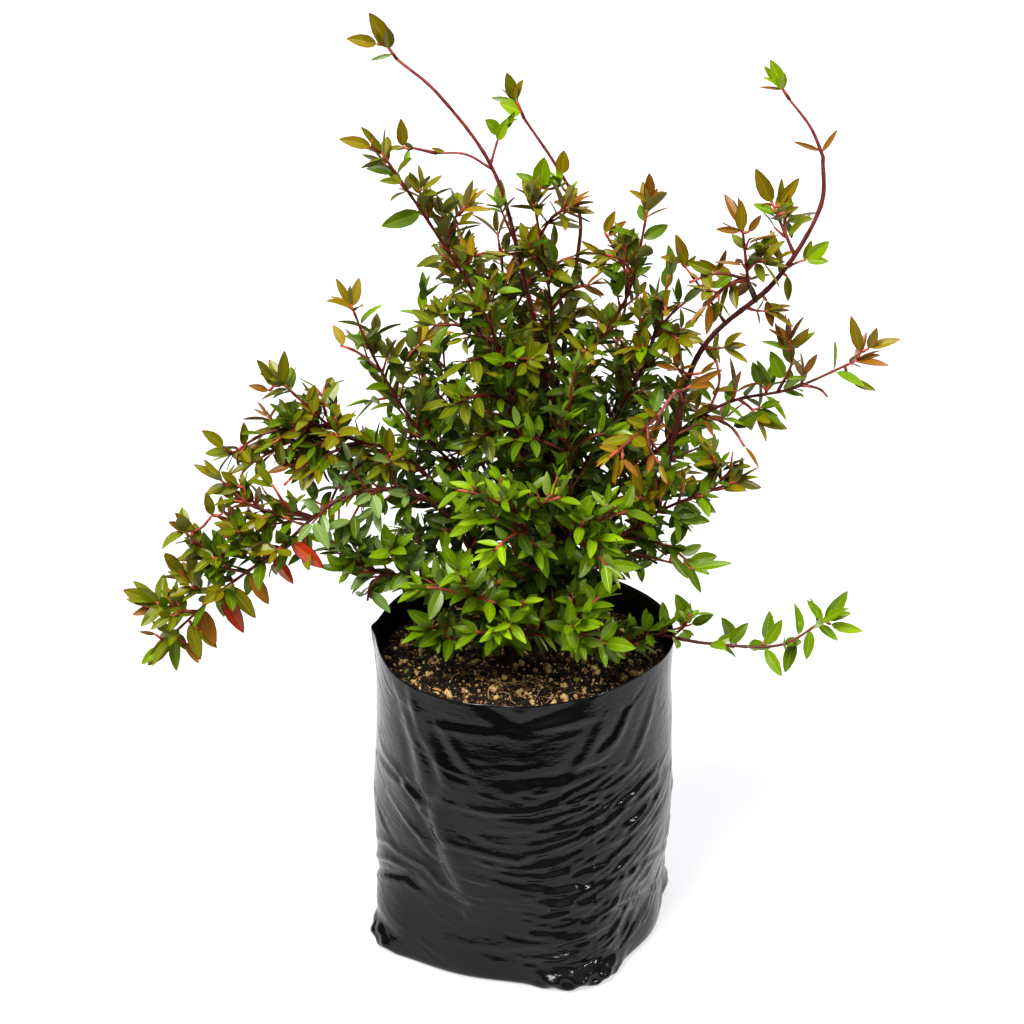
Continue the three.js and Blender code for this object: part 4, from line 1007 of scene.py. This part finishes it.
def bark_ages(name, steps, sides, seed):
    """The shade of each face of a limb's wall: younger, so redder, towards its tip, in soft patches."""
    low, high = YOUTH.get(name, YOUTH["usual"])
    along, around = np.meshgrid(np.arange(steps) / steps, np.arange(sides) / sides, indexing="ij")
    patches = smooth_noise(noise_table(seed), around * 5, along * 24 + seed, 5)
    youth = low + (high - low) * along ** 1.3 + 0.09 * patches
    return np.clip((youth * len(BARK_SHADES)).astype(int), 0, len(BARK_SHADES) - 1).ravel()


def make_bark():
    materials = [bark_material(f"bark_{i}", code) for i, code in enumerate(BARK_SHADES)]
    stems = [name for name, *_ in STEMS]
    for seed, (name, (path, radius_at, node)) in enumerate(limbs.items()):
        sides = 20 if name in stems else 14
        points, walls, ends, steps = tube(path, radius_at, sides, 1.1, bark_relief(seed + 31))
        batch = Batch()
        batch.add(points, (walls, bark_ages(name, steps, sides, seed + 61)), (ends, 0))
        make_piece(f"bark_{name}", batch, materials, "bark", [node])


# Foliage: shoots and the space of each mass, as in the solids

def shoots_of(limb, place, stem_points, tips):
    path, _, _ = limbs[limb]
    stem = Path([path.at(place * path.length), *plant_points(stem_points)])
    shoots = [(stem, TWIG["radius"])]
    samples = stem.spaced(LIMB_SAMPLES)
    for tip in plant_points(tips):
        gaps = np.linalg.norm(samples - tip, axis=1)
        nearest = int(gaps.argmin())
        below = nearest / LIMB_SAMPLES - SIDE_SHOOT["fork_back"] * gaps[nearest] / stem.length
        fork = min(max(below, SIDE_SHOOT["first_fork"] / stem.length), SIDE_SHOOT["last_fork"])
        start = stem.at(fork * stem.length)
        reach = np.linalg.norm(tip - start)
        bend = (start + tip) / 2 + SIDE_SHOOT["bow"] * reach * stem.forward(fork * stem.length)
        shoots.append((Path([start, bend, tip]), TWIG["radius"] * SIDE_SHOOT["thinner"]))
    return shoots


def tree_of(points):
    tree = kdtree.KDTree(len(points))
    for i, point in enumerate(points):
        tree.insert(point, i)
    tree.balance()
    return tree


def seen_at(point):
    """Where a point is seen in the photo, at the depth of the bag's middle: across and height."""
    x0, y0, z0 = CAMERA["place"]
    reach = -y0 / (point[1] - y0)
    return x0 + reach * (point[0] - x0), z0 + reach * (point[2] - z0) - SOIL["foot"]


def in_opening(point):
    """Whether the point lies on the line of sight through one of the openings."""
    x, height = seen_at(point)
    return any((x - a) ** 2 + (height - b) ** 2 < r * r for a, b, r in OPENINGS)


def strip_of(point):
    x, height = seen_at(point)
    return int(x // IN_SIGHT["strip"]), int(height // IN_SIGHT["strip"])


def lowest_leaf(point):
    """The level above which leaves may be: outside the pot, over its rim or over the soil."""
    radius = math.hypot(point[0], point[1])
    if radius > BAG["rim_radius"] + NEAR_POT["outside"]:
        return NEAR_POT["ground"]
    if radius > BAG["rim_radius"] - NEAR_POT["inside"]:
        return BAG["height"] + NEAR_POT["rim"]
    if point[1] >= SOIL_SHOWS["before"]:
        return SOIL["foot"] + NEAR_POT["soil"]
    return SOIL["foot"] + NEAR_POT["front_left" if point[0] < SOIL_SHOWS["left_of"] else "front"]


class Crown:
    """What the growing leaves have to keep clear of, and what has grown so far."""

    def __init__(self):
        self.shoots = [shoots_of(limb, place, stem, tips + MORE_TIPS.get(name, []))
                       for name, limb, place, stem, tips, *_ in MASSES]
        own = [(point, m) for m, shoots in enumerate(self.shoots)
               for path, _ in shoots for point in path.spaced(LIMB_SAMPLES)]
        self.owners = [m for _, m in own]
        self.spaces = tree_of([point for point, _ in own])
        wood = [(point, radius_at(i / WOOD_SAMPLES)) for path, radius_at, _ in limbs.values()
                for i, point in enumerate(path.spaced(WOOD_SAMPLES))]
        self.wood_radii = [radius for _, radius in wood]
        self.wood = tree_of([point for point, _ in wood])
        self.leaves = {tint: [] for tint in TINTS}
        self.twigs = []
        self.cells = {}
        self.strips = self.strips_in_sight()

    def strips_in_sight(self):
        """The depth of the furthest shoot that stays in sight, for each strip of the picture."""
        strips = {}
        lines = [path for shoots in self.shoots for path, _ in shoots]
        for path in lines + [path for path, _, _ in limbs.values()]:
            for point in path.every(IN_SIGHT["step"]):
                if point[1] < IN_SIGHT["before"] and point[2] > SOIL["foot"] + IN_SIGHT["above"]:
                    strip = strip_of(point)
                    strips[strip] = max(point[1], strips.get(strip, NO_SHOOT))
        return strips

    def hides_stem(self, root, blade):
        """Whether a leaf would cover a shoot that stays in sight."""
        places = [root + blade * share for share in (0.35, 0.6, 0.85)]
        return any(p[1] < self.strips.get(strip_of(p), NO_SHOOT) - IN_SIGHT["slack"] for p in places)

    def allowed(self, point, m, clear=1.2):
        """Whether a leaf's point is clear of wood and pot and, where m is given, in that mass's space."""
        _, index, distance = self.spaces.find(point)
        if m is not None and (self.owners[index] != m or distance > REACH):
            return False
        if in_opening(point):
            return False
        _, index, distance = self.wood.find(point)
        if distance < self.wood_radii[index] + clear:
            return False
        return point[2] > lowest_leaf(point)

    def crowded(self, middle, most=4, cell=6):
        """Whether a leaf is one too many in its cell of space. Each leaf is counted as it is asked for."""
        key = tuple(int(v // cell) for v in middle)
        self.cells[key] = self.cells.get(key, 0) + 1
        return self.cells[key] > most


def crossways(forward, turn):
    """A direction square to forward, turned round it."""
    flat = np.array((1.0, 0, 0)) if abs(forward[2]) > 0.95 else np.array((0, 0, 1.0))
    side = unit(np.cross(forward, flat))
    other = np.cross(forward, side)
    return side * math.cos(turn) + other * math.sin(turn)


def leaning(forward, outward, degrees):
    """A direction that leans from forward to outward."""
    spread = math.radians(degrees)
    return forward * math.cos(spread) + outward * math.sin(spread)


UP = np.array((0, 0, 1.0))


class Spray:
    """The twigs and leaves of one mass, or those of a limb's leafy stretch where m is None."""

    def __init__(self, crown, m, habit, inner, outer, tips, seed):
        self.crown, self.m = crown, m
        self.lengths, self.budding = HABITS[habit]
        self.tuft_kind = "bud" if habit == "bud" else "shoot"
        self.rng = random.Random(seed)
        self.inner, self.outer, self.tips = inner.split(), outer.split(), tips.split()
        self.warm = any(tint in WARM_TINTS for tint in self.tips)

    def leaf(self, root, direction, forward, length, tint, width=1.0):
        """A leaf, or a shorter one, if there is room for it. It faces up and out of the crown."""
        direction = unit(direction)
        low = 1 - float(smoothstep(root[2] - SOIL["foot"], 100, 200))
        lean = max(-1, min(1, (root[1] - CROWN_MIDDLE) / 30)) * (FACING["out"] + FACING["out_low"] * low)
        loose = np.array([self.rng.uniform(-1, 1) for _ in range(3)])
        face = unit(FACING["up"] * UP + FACING["along"] * forward + np.array((0, lean, 0))
                    + FACING["loose"] * loose)
        width *= SLIMMER.get(tint, 1)
        hides = self.crown.hides_stem(root, direction * length)
        if hides and self.rng.random() < IN_SIGHT["share"]:
            return
        for share in (1, LEAF["shorter"]):
            tip = root + direction * length * share
            middle = root + direction * length * share * 0.5
            if self.crown.allowed(tip, self.m) and self.crown.allowed(middle, self.m, 0.6):
                if not self.crown.crowded(middle):
                    wobble = [width] + [self.rng.random() for _ in range(5)]
                    self.crown.leaves[tint].append((root, direction, face, length * share, wobble))
                return

    def grow(self, path, radius, order, vigour):
        """A twig with its pairs of leaves, each pair turned a quarter from the last. vigour falls
        from 1 on the mass's own shoots to less on the twigs from their buds."""
        rng = self.rng
        tip_radius = TWIG["tip_radius"] * (1 if order < 2 else 0.75)
        self.crown.twigs.append((path, radius, tip_radius, self.warm, order))
        gap, bare = ORDERS["gap"][order], ORDERS["bare"][order]
        turn = rng.uniform(0, math.pi)
        nodes = int((path.length - bare) / gap)
        for n in range(nodes):
            distance = bare + (n + 0.35 + 0.2 * rng.random()) * gap
            share = distance / path.length
            point, forward = path.at(distance), path.forward(distance)
            side = crossways(forward, turn + n * math.pi / 2 + rng.uniform(-0.2, 0.2))
            tint = rng.choice(self.outer if share > 0.55 and order < 3 else self.inner)
            forks = order < 2 or (order == 2 and rng.random() < TWIG["refork"])
            for outward in (side, -side):
                if forks and rng.random() < self.budding * (1 - 0.75 * share):
                    self.side_twig(point, forward, outward, radius, order, share)
                    if rng.random() < TWIG["no_leaf"]:
                        continue
                direction = leaning(forward, outward, rng.uniform(*LEAF["spread"]))
                size = LEAF["length"] * vigour * rng.uniform(*LEAF["sizes"])
                self.leaf(point + outward * LEAF["sink"], direction, forward, size, tint)
        self.tuft(path, order, vigour, turn + nodes * math.pi / 2)

    def side_twig(self, point, forward, outward, radius, order, share):
        length = self.rng.uniform(*self.lengths) * ORDERS["shorter"][order] * (1.15 - 0.6 * share)
        heading = unit(0.7 * forward + 0.75 * outward + 0.35 * UP)
        tip = point + heading * length + UP * 0.1 * length
        middle = point + heading * length * 0.5
        places = [point + (tip - point) * t for t in (0.5, 0.8, 1)]
        clear = all(self.crown.allowed(place, self.m, 0.4) for place in places)
        if clear and np.linalg.norm(tip - point) > TWIG["shortest"]:
            next_order = min(order + 1, 3) if order else 2
            twig = Path([point, middle, tip], 6)
            self.grow(twig, radius * TWIG["thinner"], next_order, ORDERS["vigour"][order])

    def tuft(self, path, order, vigour, turn):
        """The youngest leaves: an open pair, then a steeper one, then the bud's own small pair."""
        rng = self.rng
        end, forward = path.at(path.length), path.forward(path.length)
        young = order < 2 or (order == 2 and rng.random() < 0.3)
        tint = rng.choice(self.tips if young else self.outer)
        kind = self.tuft_kind if order < 2 else "twig"
        for i, (angle, size, back, width) in enumerate(TUFTS[kind]):
            side = crossways(forward, turn + i * math.pi / 2)
            root = end - forward * min(back, 0.3 * path.length)
            for outward in (side, -side):
                direction = leaning(forward, outward, angle + rng.uniform(-9, 9))
                length = LEAF["length"] * vigour * size * rng.uniform(0.8, 1.08)
                self.leaf(root, direction, forward, length, tint, width)


def dress_limbs(crown):
    """Short leafy twigs from the buds of the boughs inside the crown."""
    for number, (name, (path, radius_at, _)) in enumerate(limbs.items()):
        stretch = LEAFY.get(name, LEAFY["usual"])
        if stretch is None:
            continue
        first, last, tints = stretch
        spray = Spray(crown, None, "slim", tints, tints, tints, 900 + number)
        turn = spray.rng.uniform(0, math.pi)
        for n, distance in enumerate(np.arange(first * path.length, last * path.length, LEAFY_STEP)):
            point, forward = path.at(distance), path.forward(distance)
            side = crossways(forward, turn + n * math.pi / 2)
            for outward in (side, -side):
                if spray.rng.random() > 0.75:
                    continue
                heading = unit(0.5 * forward + 0.85 * outward + 0.2 * UP)
                root = point + outward * 0.7 * radius_at(distance / path.length)
                tip = root + heading * spray.rng.uniform(*LEAFY_TWIG)
                if crown.allowed(tip, None):
                    spray.grow(Path([root, (root + tip) / 2 + 0.05 * UP, tip], 6), 0.8, 2, 0.85)


def nearest_on(limb, point):
    """The place on a limb that is nearest to a point, and its share of the limb's length."""
    samples = limbs[limb][0].spaced(NEAR_SAMPLES)
    index = int(np.linalg.norm(samples - point, axis=1).argmin())
    return samples[index], index / NEAR_SAMPLES


def add_sprigs(crown, rng):
    """Small sprays on bare lengths of the boughs."""
    for limb, start, tip, tints in SPRIGS:
        start, end = plant_points([start, tip])
        root, share = nearest_on(limb, start)
        root = root + unit(end - root) * 0.6 * limbs[limb][1](share)
        twig = Path([root, (root + end) / 2 + (0, 0, -0.8), end], 6)
        crown.twigs.append((twig, 0.85, 0.55, True, 2))
        turn = rng.uniform(0, math.pi)
        for i, (share, angle, size) in enumerate(SPRIG_PAIRS):
            forward = twig.forward(share * twig.length)
            side = crossways(forward, turn + i * math.pi / 2)
            for outward in (side, -side):
                direction = leaning(forward, outward, angle + rng.uniform(-9, 9))
                wobble = [rng.uniform(0.75, 1)] + [rng.random() for _ in range(5)]
                leaf = (twig.at(share * twig.length), direction, unit(0.8 * UP + 0.6 * forward),
                        LEAF["length"] * size * rng.uniform(0.75, 0.95), wobble)
                crown.leaves[rng.choice(tints.split())].append(leaf)


def add_spurs(crown):
    """The short bare twigs that carry some of the single leaves."""
    for limb, start, tip in SPURS:
        start, end = plant_points([start, tip])
        root, _ = nearest_on(limb, start)
        crown.twigs.append((Path([root, (root + end) / 2 + (0, 0, 0.6), end], 6), 0.9, 0.6, True, 2))


def add_lone_leaves(crown, rng):
    """The single leaves. Each starts at the nearest twig or limb, or at the end of a stalk from there."""
    lines = [path for path, *_ in crown.twigs] + [path for path, _, _ in limbs.values()]
    places = np.concatenate([path.every(STALK["step"]) for path in lines])
    for root, tip, width, tint in LONE_LEAVES:
        root, tip = plant_points([root, tip])
        gaps = np.linalg.norm(places - root, axis=1)
        nearest = places[gaps.argmin()]
        if gaps.min() < STALK["shortest"]:
            root = nearest
        else:
            middle = (nearest + root) / 2 - STALK["sag"] * gaps.min() * UP
            stalk = Path([nearest, middle, root + STALK["overlap"] * unit(tip - root)], 6)
            crown.twigs.append((stalk, STALK["radius"], TWIG["tip_radius"], True, 2))
            places = np.concatenate([places, stalk.every(STALK["step"])])
        loose = np.array([rng.uniform(-0.35, 0.35) for _ in range(3)])
        face = unit(np.array((0.1, -0.8, 0.5)) + loose)
        wobble = [width] + [rng.uniform(0.3, 0.6) for _ in range(5)]
        crown.leaves[tint].append((root, unit(tip - root), face, np.linalg.norm(tip - root), wobble))


# Leaves

ROWS = np.array([0, 0.06, 0.13, 0.23, 0.35, 0.48, 0.61, 0.73, 0.84, 0.93])
SMALL_ROWS = np.array([0, 0.07, 0.18, 0.34, 0.52, 0.7, 0.86])
PLAIN_COLUMNS = np.array([-1, -0.55, -0.08, 0.08, 0.55, 1])
EDGED_COLUMNS = np.array([-1, -0.87, -0.45, -0.07, 0.07, 0.45, 0.87, 1])
BLADE, MARGIN, MIDRIB, UNDERSIDE, TIP = range(5)
TIP_FROM = 0.84  # share of the blade's length where the tip's own colour begins


def leaf_outline(t):
    """Share of the half width: a narrow petiole, then a lance shape with a drawn-out point."""
    start, widest, full = LEAF["petiole"], LEAF["widest"], LEAF["fullness"]
    a, b = widest * full, (1 - widest) * full
    inside = np.clip((t - start) / (widest - start), 0, None)
    shape = inside ** a * (np.clip(1 - t, 0, None) / (1 - widest)) ** b
    return np.maximum(shape, LEAF["petiole_width"] * (t < 0.9))


def leaf_template(rows, columns, edged):
    """Places (share along, share across) of a blade's points, its faces and their materials: the
    upper skin, its tip, the under skin with three columns, and its tip."""
    wide, deep = len(columns), len(rows)
    upper = ring_faces(deep, wide, closed=False)
    column = upper[:, 0] % wide
    row = upper[:, 0] // wide
    middle = wide // 2 - 1
    kinds = np.where(rows[row] > TIP_FROM, TIP, BLADE)
    kinds = np.where(column == middle, MIDRIB, kinds)
    if edged:
        kinds = np.where((column == 0) | (column == wide - 2), MARGIN, kinds)
    kinds = np.where(row == 0, MIDRIB, kinds)
    tip = deep * wide
    last = (deep - 1) * wide + np.arange(wide - 1)
    upper_tip = np.stack([last, last + 1, np.full(wide - 1, tip)], 1)
    under_start = tip + 1
    under = ring_faces(deep, 3, closed=False)[:, ::-1] + under_start
    under_last = under_start + (deep - 1) * 3 + np.arange(2)
    under_tip = np.stack([under_last + 1, under_last, np.full(2, under_start + deep * 3)], 1)
    numbers = np.arange(deep)
    tip_kinds = [np.full(wide - 1, MARGIN if edged else TIP), np.full(2, UNDERSIDE)]
    return {
        "t": np.concatenate([np.repeat(rows, wide), [1], np.repeat(rows, 3), [1]]),
        "c": np.concatenate([np.tile(columns, deep), [0], np.tile([-1, 0, 1], deep), [0]]),
        "under": np.concatenate([np.zeros(tip + 1), np.ones(deep * 3 + 1)]),
        "row": np.concatenate([np.repeat(numbers, wide), [0], np.repeat(numbers, 3), [0]]),
        "quads": np.concatenate([upper, under]),
        "quad_kinds": np.concatenate([kinds, np.full(len(under), UNDERSIDE)]),
        "triangles": np.concatenate([upper_tip, under_tip]),
        "triangle_kinds": np.concatenate(tip_kinds),
    }


def leaf_points(template, leaves):
    """The points of all leaves at once: folded along the midrib, drooping and a little twisted."""
    roots, forwards, faces, lengths, wobble = (np.array(column) for column in zip(*leaves))
    lengths = lengths[:, None]
    across = np.cross(forwards, faces)
    across /= np.linalg.norm(across, axis=1, keepdims=True)
    normals = np.cross(across, forwards)
    t, c, row, under = (template[key][None] for key in ("t", "c", "row", "under"))
    margin = np.abs(c) > 0.99
    odd = np.where(row % 2 == 0, 1, -1)
    teeth = 1 + LEAF["teeth"] * odd * margin * (t > 0.2) * (t < 0.9)
    half = lengths * LEAF["width"] / 2 * wobble[:, :1] * (0.86 + 0.28 * wobble[:, 1:2])
    side = c * half * leaf_outline(t) * teeth
    crease = 0.12 + 0.32 * wobble[:, 2:3]
    droop = -0.06 + 0.26 * wobble[:, 3:4]
    lift = crease * np.abs(side) - droop * lengths * t ** 2
    quilt = LEAF["quilt"] * lengths * odd * (np.abs(np.abs(c) - 0.5) < 0.1)
    rib = -LEAF["rib"] * lengths * (np.abs(c) < 0.1)
    thin = -LEAF["thickness"] * under * (np.abs(c) < 0.5) * (t < 0.99)
    lift = lift + (quilt + rib) * (1 - under) * (t > 0.1) * (t < 0.95) + thin
    bend = (wobble[:, 4:5] - 0.5) * 0.2
    side = side + bend * lengths * t ** 2
    twist = (wobble[:, 5:6] - 0.5) * 0.8 * t
    turned = side * np.cos(twist) - lift * np.sin(twist)
    raised = side * np.sin(twist) + lift * np.cos(twist)
    return (roots[:, None] + forwards[:, None] * (lengths * t)[..., None]
            + across[:, None] * turned[..., None] + normals[:, None] * raised[..., None])


LARGE_LEAF = 14  # leaves at least this long get the finer blade
LEAVES_A_PIECE = 850
EDGED_TINTS = ("olive", "gold", "bronze", "red")
FOLIAGE_NODES = [f"foliage_{name}" for name, *_ in MASSES]


def add_leaves(batch, leaves, rows, edged):
    if not leaves:
        return
    template = leaf_template(rows, EDGED_COLUMNS if edged else PLAIN_COLUMNS, edged)
    points = leaf_points(template, leaves)
    shifts = (np.arange(len(leaves)) * points.shape[1])[:, None, None]
    parts = []
    for shape, kinds, corners in (("quads", "quad_kinds", 4), ("triangles", "triangle_kinds", 3)):
        faces = (template[shape][None] + shifts).reshape(-1, corners)
        parts.append((faces, np.tile(template[kinds], len(leaves))))
    batch.add(points.reshape(-1, 3), *parts)


def slot_of(tint):
    if tint in ("fresh", "lime"):
        return "leaves_bright"
    return "leaves_bronze" if tint in EDGED_TINTS else "leaves_dark"


def make_leaves(crown):
    for tint, leaves in crown.leaves.items():
        edged = tint in EDGED_TINTS
        for part, start in enumerate(range(0, len(leaves), LEAVES_A_PIECE)):
            some = leaves[start:start + LEAVES_A_PIECE]
            batch = Batch()
            add_leaves(batch, [leaf for leaf in some if leaf[3] >= LARGE_LEAF], ROWS, edged)
            add_leaves(batch, [leaf for leaf in some if leaf[3] < LARGE_LEAF], SMALL_ROWS, edged)
            name = f"leaves_{tint}_{part + 1}"
            make_piece(name, batch, leaf_materials(tint), slot_of(tint), FOLIAGE_NODES)


def twig_joints(distance, _):
    """The slight swellings along a twig."""
    return 0.35 * hump((distance + 3) % 11, 5.5, 1.2)


def make_twigs(crown):
    """All twigs in one mesh: brown-red where older, redder towards the tips."""
    batch = Batch()
    for path, radius, tip_radius, warm, order in crown.twigs:
        step = TWIG["step"] * (1 if order < 2 else 0.7)
        points, walls, ends, steps = tube(path, taper(radius, tip_radius), TWIG["sides"], step, twig_joints)
        from_tip = path.length * (1 - (walls[:, 0] // TWIG["sides"]) / steps)
        pink = from_tip < TWIG["pink"] * (1 if order < 2 else 0.6)
        kinds = np.where(pink, 2 if warm else 1, np.where(from_tip < TWIG["young"], 1, 0))
        batch.add(points, (walls, kinds), (ends, 0))
    materials = [twig_material(f"twig_{name}", code) for name, code in TWIG_COLOURS.items()]
    make_piece("twigs", batch, materials, "bark", FOLIAGE_NODES)


# Light, floor and camera

def make_floor():
    mesh = bpy.data.meshes.new("floor")
    half, front, level = 30, -0.38, -0.0003  # the table ends in front, out of the picture
    corners = [(-half, front, level), (half, front, level), (half, half, level), (-half, half, level)]
    mesh.from_pydata(corners, [], [(0, 1, 2, 3)])
    material, shader = principled("pale_floor", (0.4, 0.4, 0.41, 1), 0.7, Specular_IOR_Level=0.1)
    shader.inputs["Emission Color"].default_value = (0.98, 0.98, 1, 1)
    shader.inputs["Emission Strength"].default_value = 0.55
    mesh.materials.append(material)
    floor = add_object("floor", mesh)


# Soft suns: their azimuth and elevation, their strength and how wide they are in degrees.
LIGHTS = {"key": (-38, 56, 3.1, 28), "side": (54, 32, 0.7, 7), "back": (165, 50, 0.6, 40)}


def make_light(name, azimuth, elevation, strength, angle):
    """A soft sun. Azimuth 0 is behind the camera, 90 to the right."""
    light = bpy.data.lights.new(name, "SUN")
    light.energy = strength
    light.angle = math.radians(angle)
    a, e = math.radians(azimuth), math.radians(elevation)
    source = Vector((math.sin(a) * math.cos(e), -math.cos(a) * math.cos(e), math.sin(e)))
    lamp = add_object(name, light)
    lamp.rotation_mode = "QUATERNION"
    lamp.rotation_quaternion = source.to_track_quat("Z", "Y")


def make_world():
    """A soft studio: bright overhead and dim round the sides, and plain white where it is seen."""
    world = bpy.data.worlds.new("studio")
    world.use_nodes = True
    nodes, links = world.node_tree.nodes, world.node_tree.links
    lit = nodes["Background"]
    place = nodes.new("ShaderNodeTexCoord")
    parts = nodes.new("ShaderNodeSeparateXYZ")
    ramp = nodes.new("ShaderNodeValToRGB")
    elements = ramp.color_ramp.elements
    elements[0].position, elements[0].color = 0.0, (0.16, 0.16, 0.17, 1)
    elements[1].position, elements[1].color = 0.9, (1, 1, 1, 1)
    elements.new(0.3).color = (0.3, 0.3, 0.31, 1)
    links.new(place.outputs["Generated"], parts.inputs["Vector"])
    links.new(parts.outputs["Z"], ramp.inputs["Fac"])
    links.new(ramp.outputs["Color"], lit.inputs["Color"])
    lit.inputs["Strength"].default_value = 0.62
    seen = nodes.new("ShaderNodeBackground")
    seen.inputs["Color"].default_value = (0.96, 0.96, 0.97, 1)
    rays = nodes.new("ShaderNodeLightPath")
    mix = nodes.new("ShaderNodeMixShader")
    links.new(rays.outputs["Is Camera Ray"], mix.inputs["Fac"])
    links.new(lit.outputs["Background"], mix.inputs[1])
    links.new(seen.outputs["Background"], mix.inputs[2])
    links.new(mix.outputs["Shader"], nodes["World Output"].inputs["Surface"])
    bpy.context.scene.world = world
    bpy.context.scene.view_settings.view_transform = "Standard"
    bpy.context.scene.view_settings.look = "Medium High Contrast"


def make_camera():
    camera = bpy.data.cameras.new("camera")
    camera.lens = CAMERA["lens"]
    camera.sensor_width = 36
    view = add_object("camera", camera)
    view.location = Vector(CAMERA["place"]) * MM
    view.rotation_euler = (math.radians(90 - CAMERA["pitch"]), 0, 0)
    bpy.context.scene.camera = view


grow_limbs()
crown = Crown()
for m, (shoots, (*_, habit, inner, outer, tips)) in enumerate(zip(crown.shoots, MASSES)):
    spray = Spray(crown, m, habit, inner, outer, tips, 101 + 17 * m)
    for i, (path, radius) in enumerate(shoots):
        spray.grow(path, radius, min(i, 1), 1.0)
dress_limbs(crown)
rng = random.Random(77)
add_sprigs(crown, rng)
add_spurs(crown)
add_lone_leaves(crown, rng)
make_camera()
make_world()
make_floor()
for name, light in LIGHTS.items():
    make_light(name, *light)
make_bag()
make_soil()
make_grains()
make_roots()
make_bark()
make_twigs(crown)
make_leaves(crown)
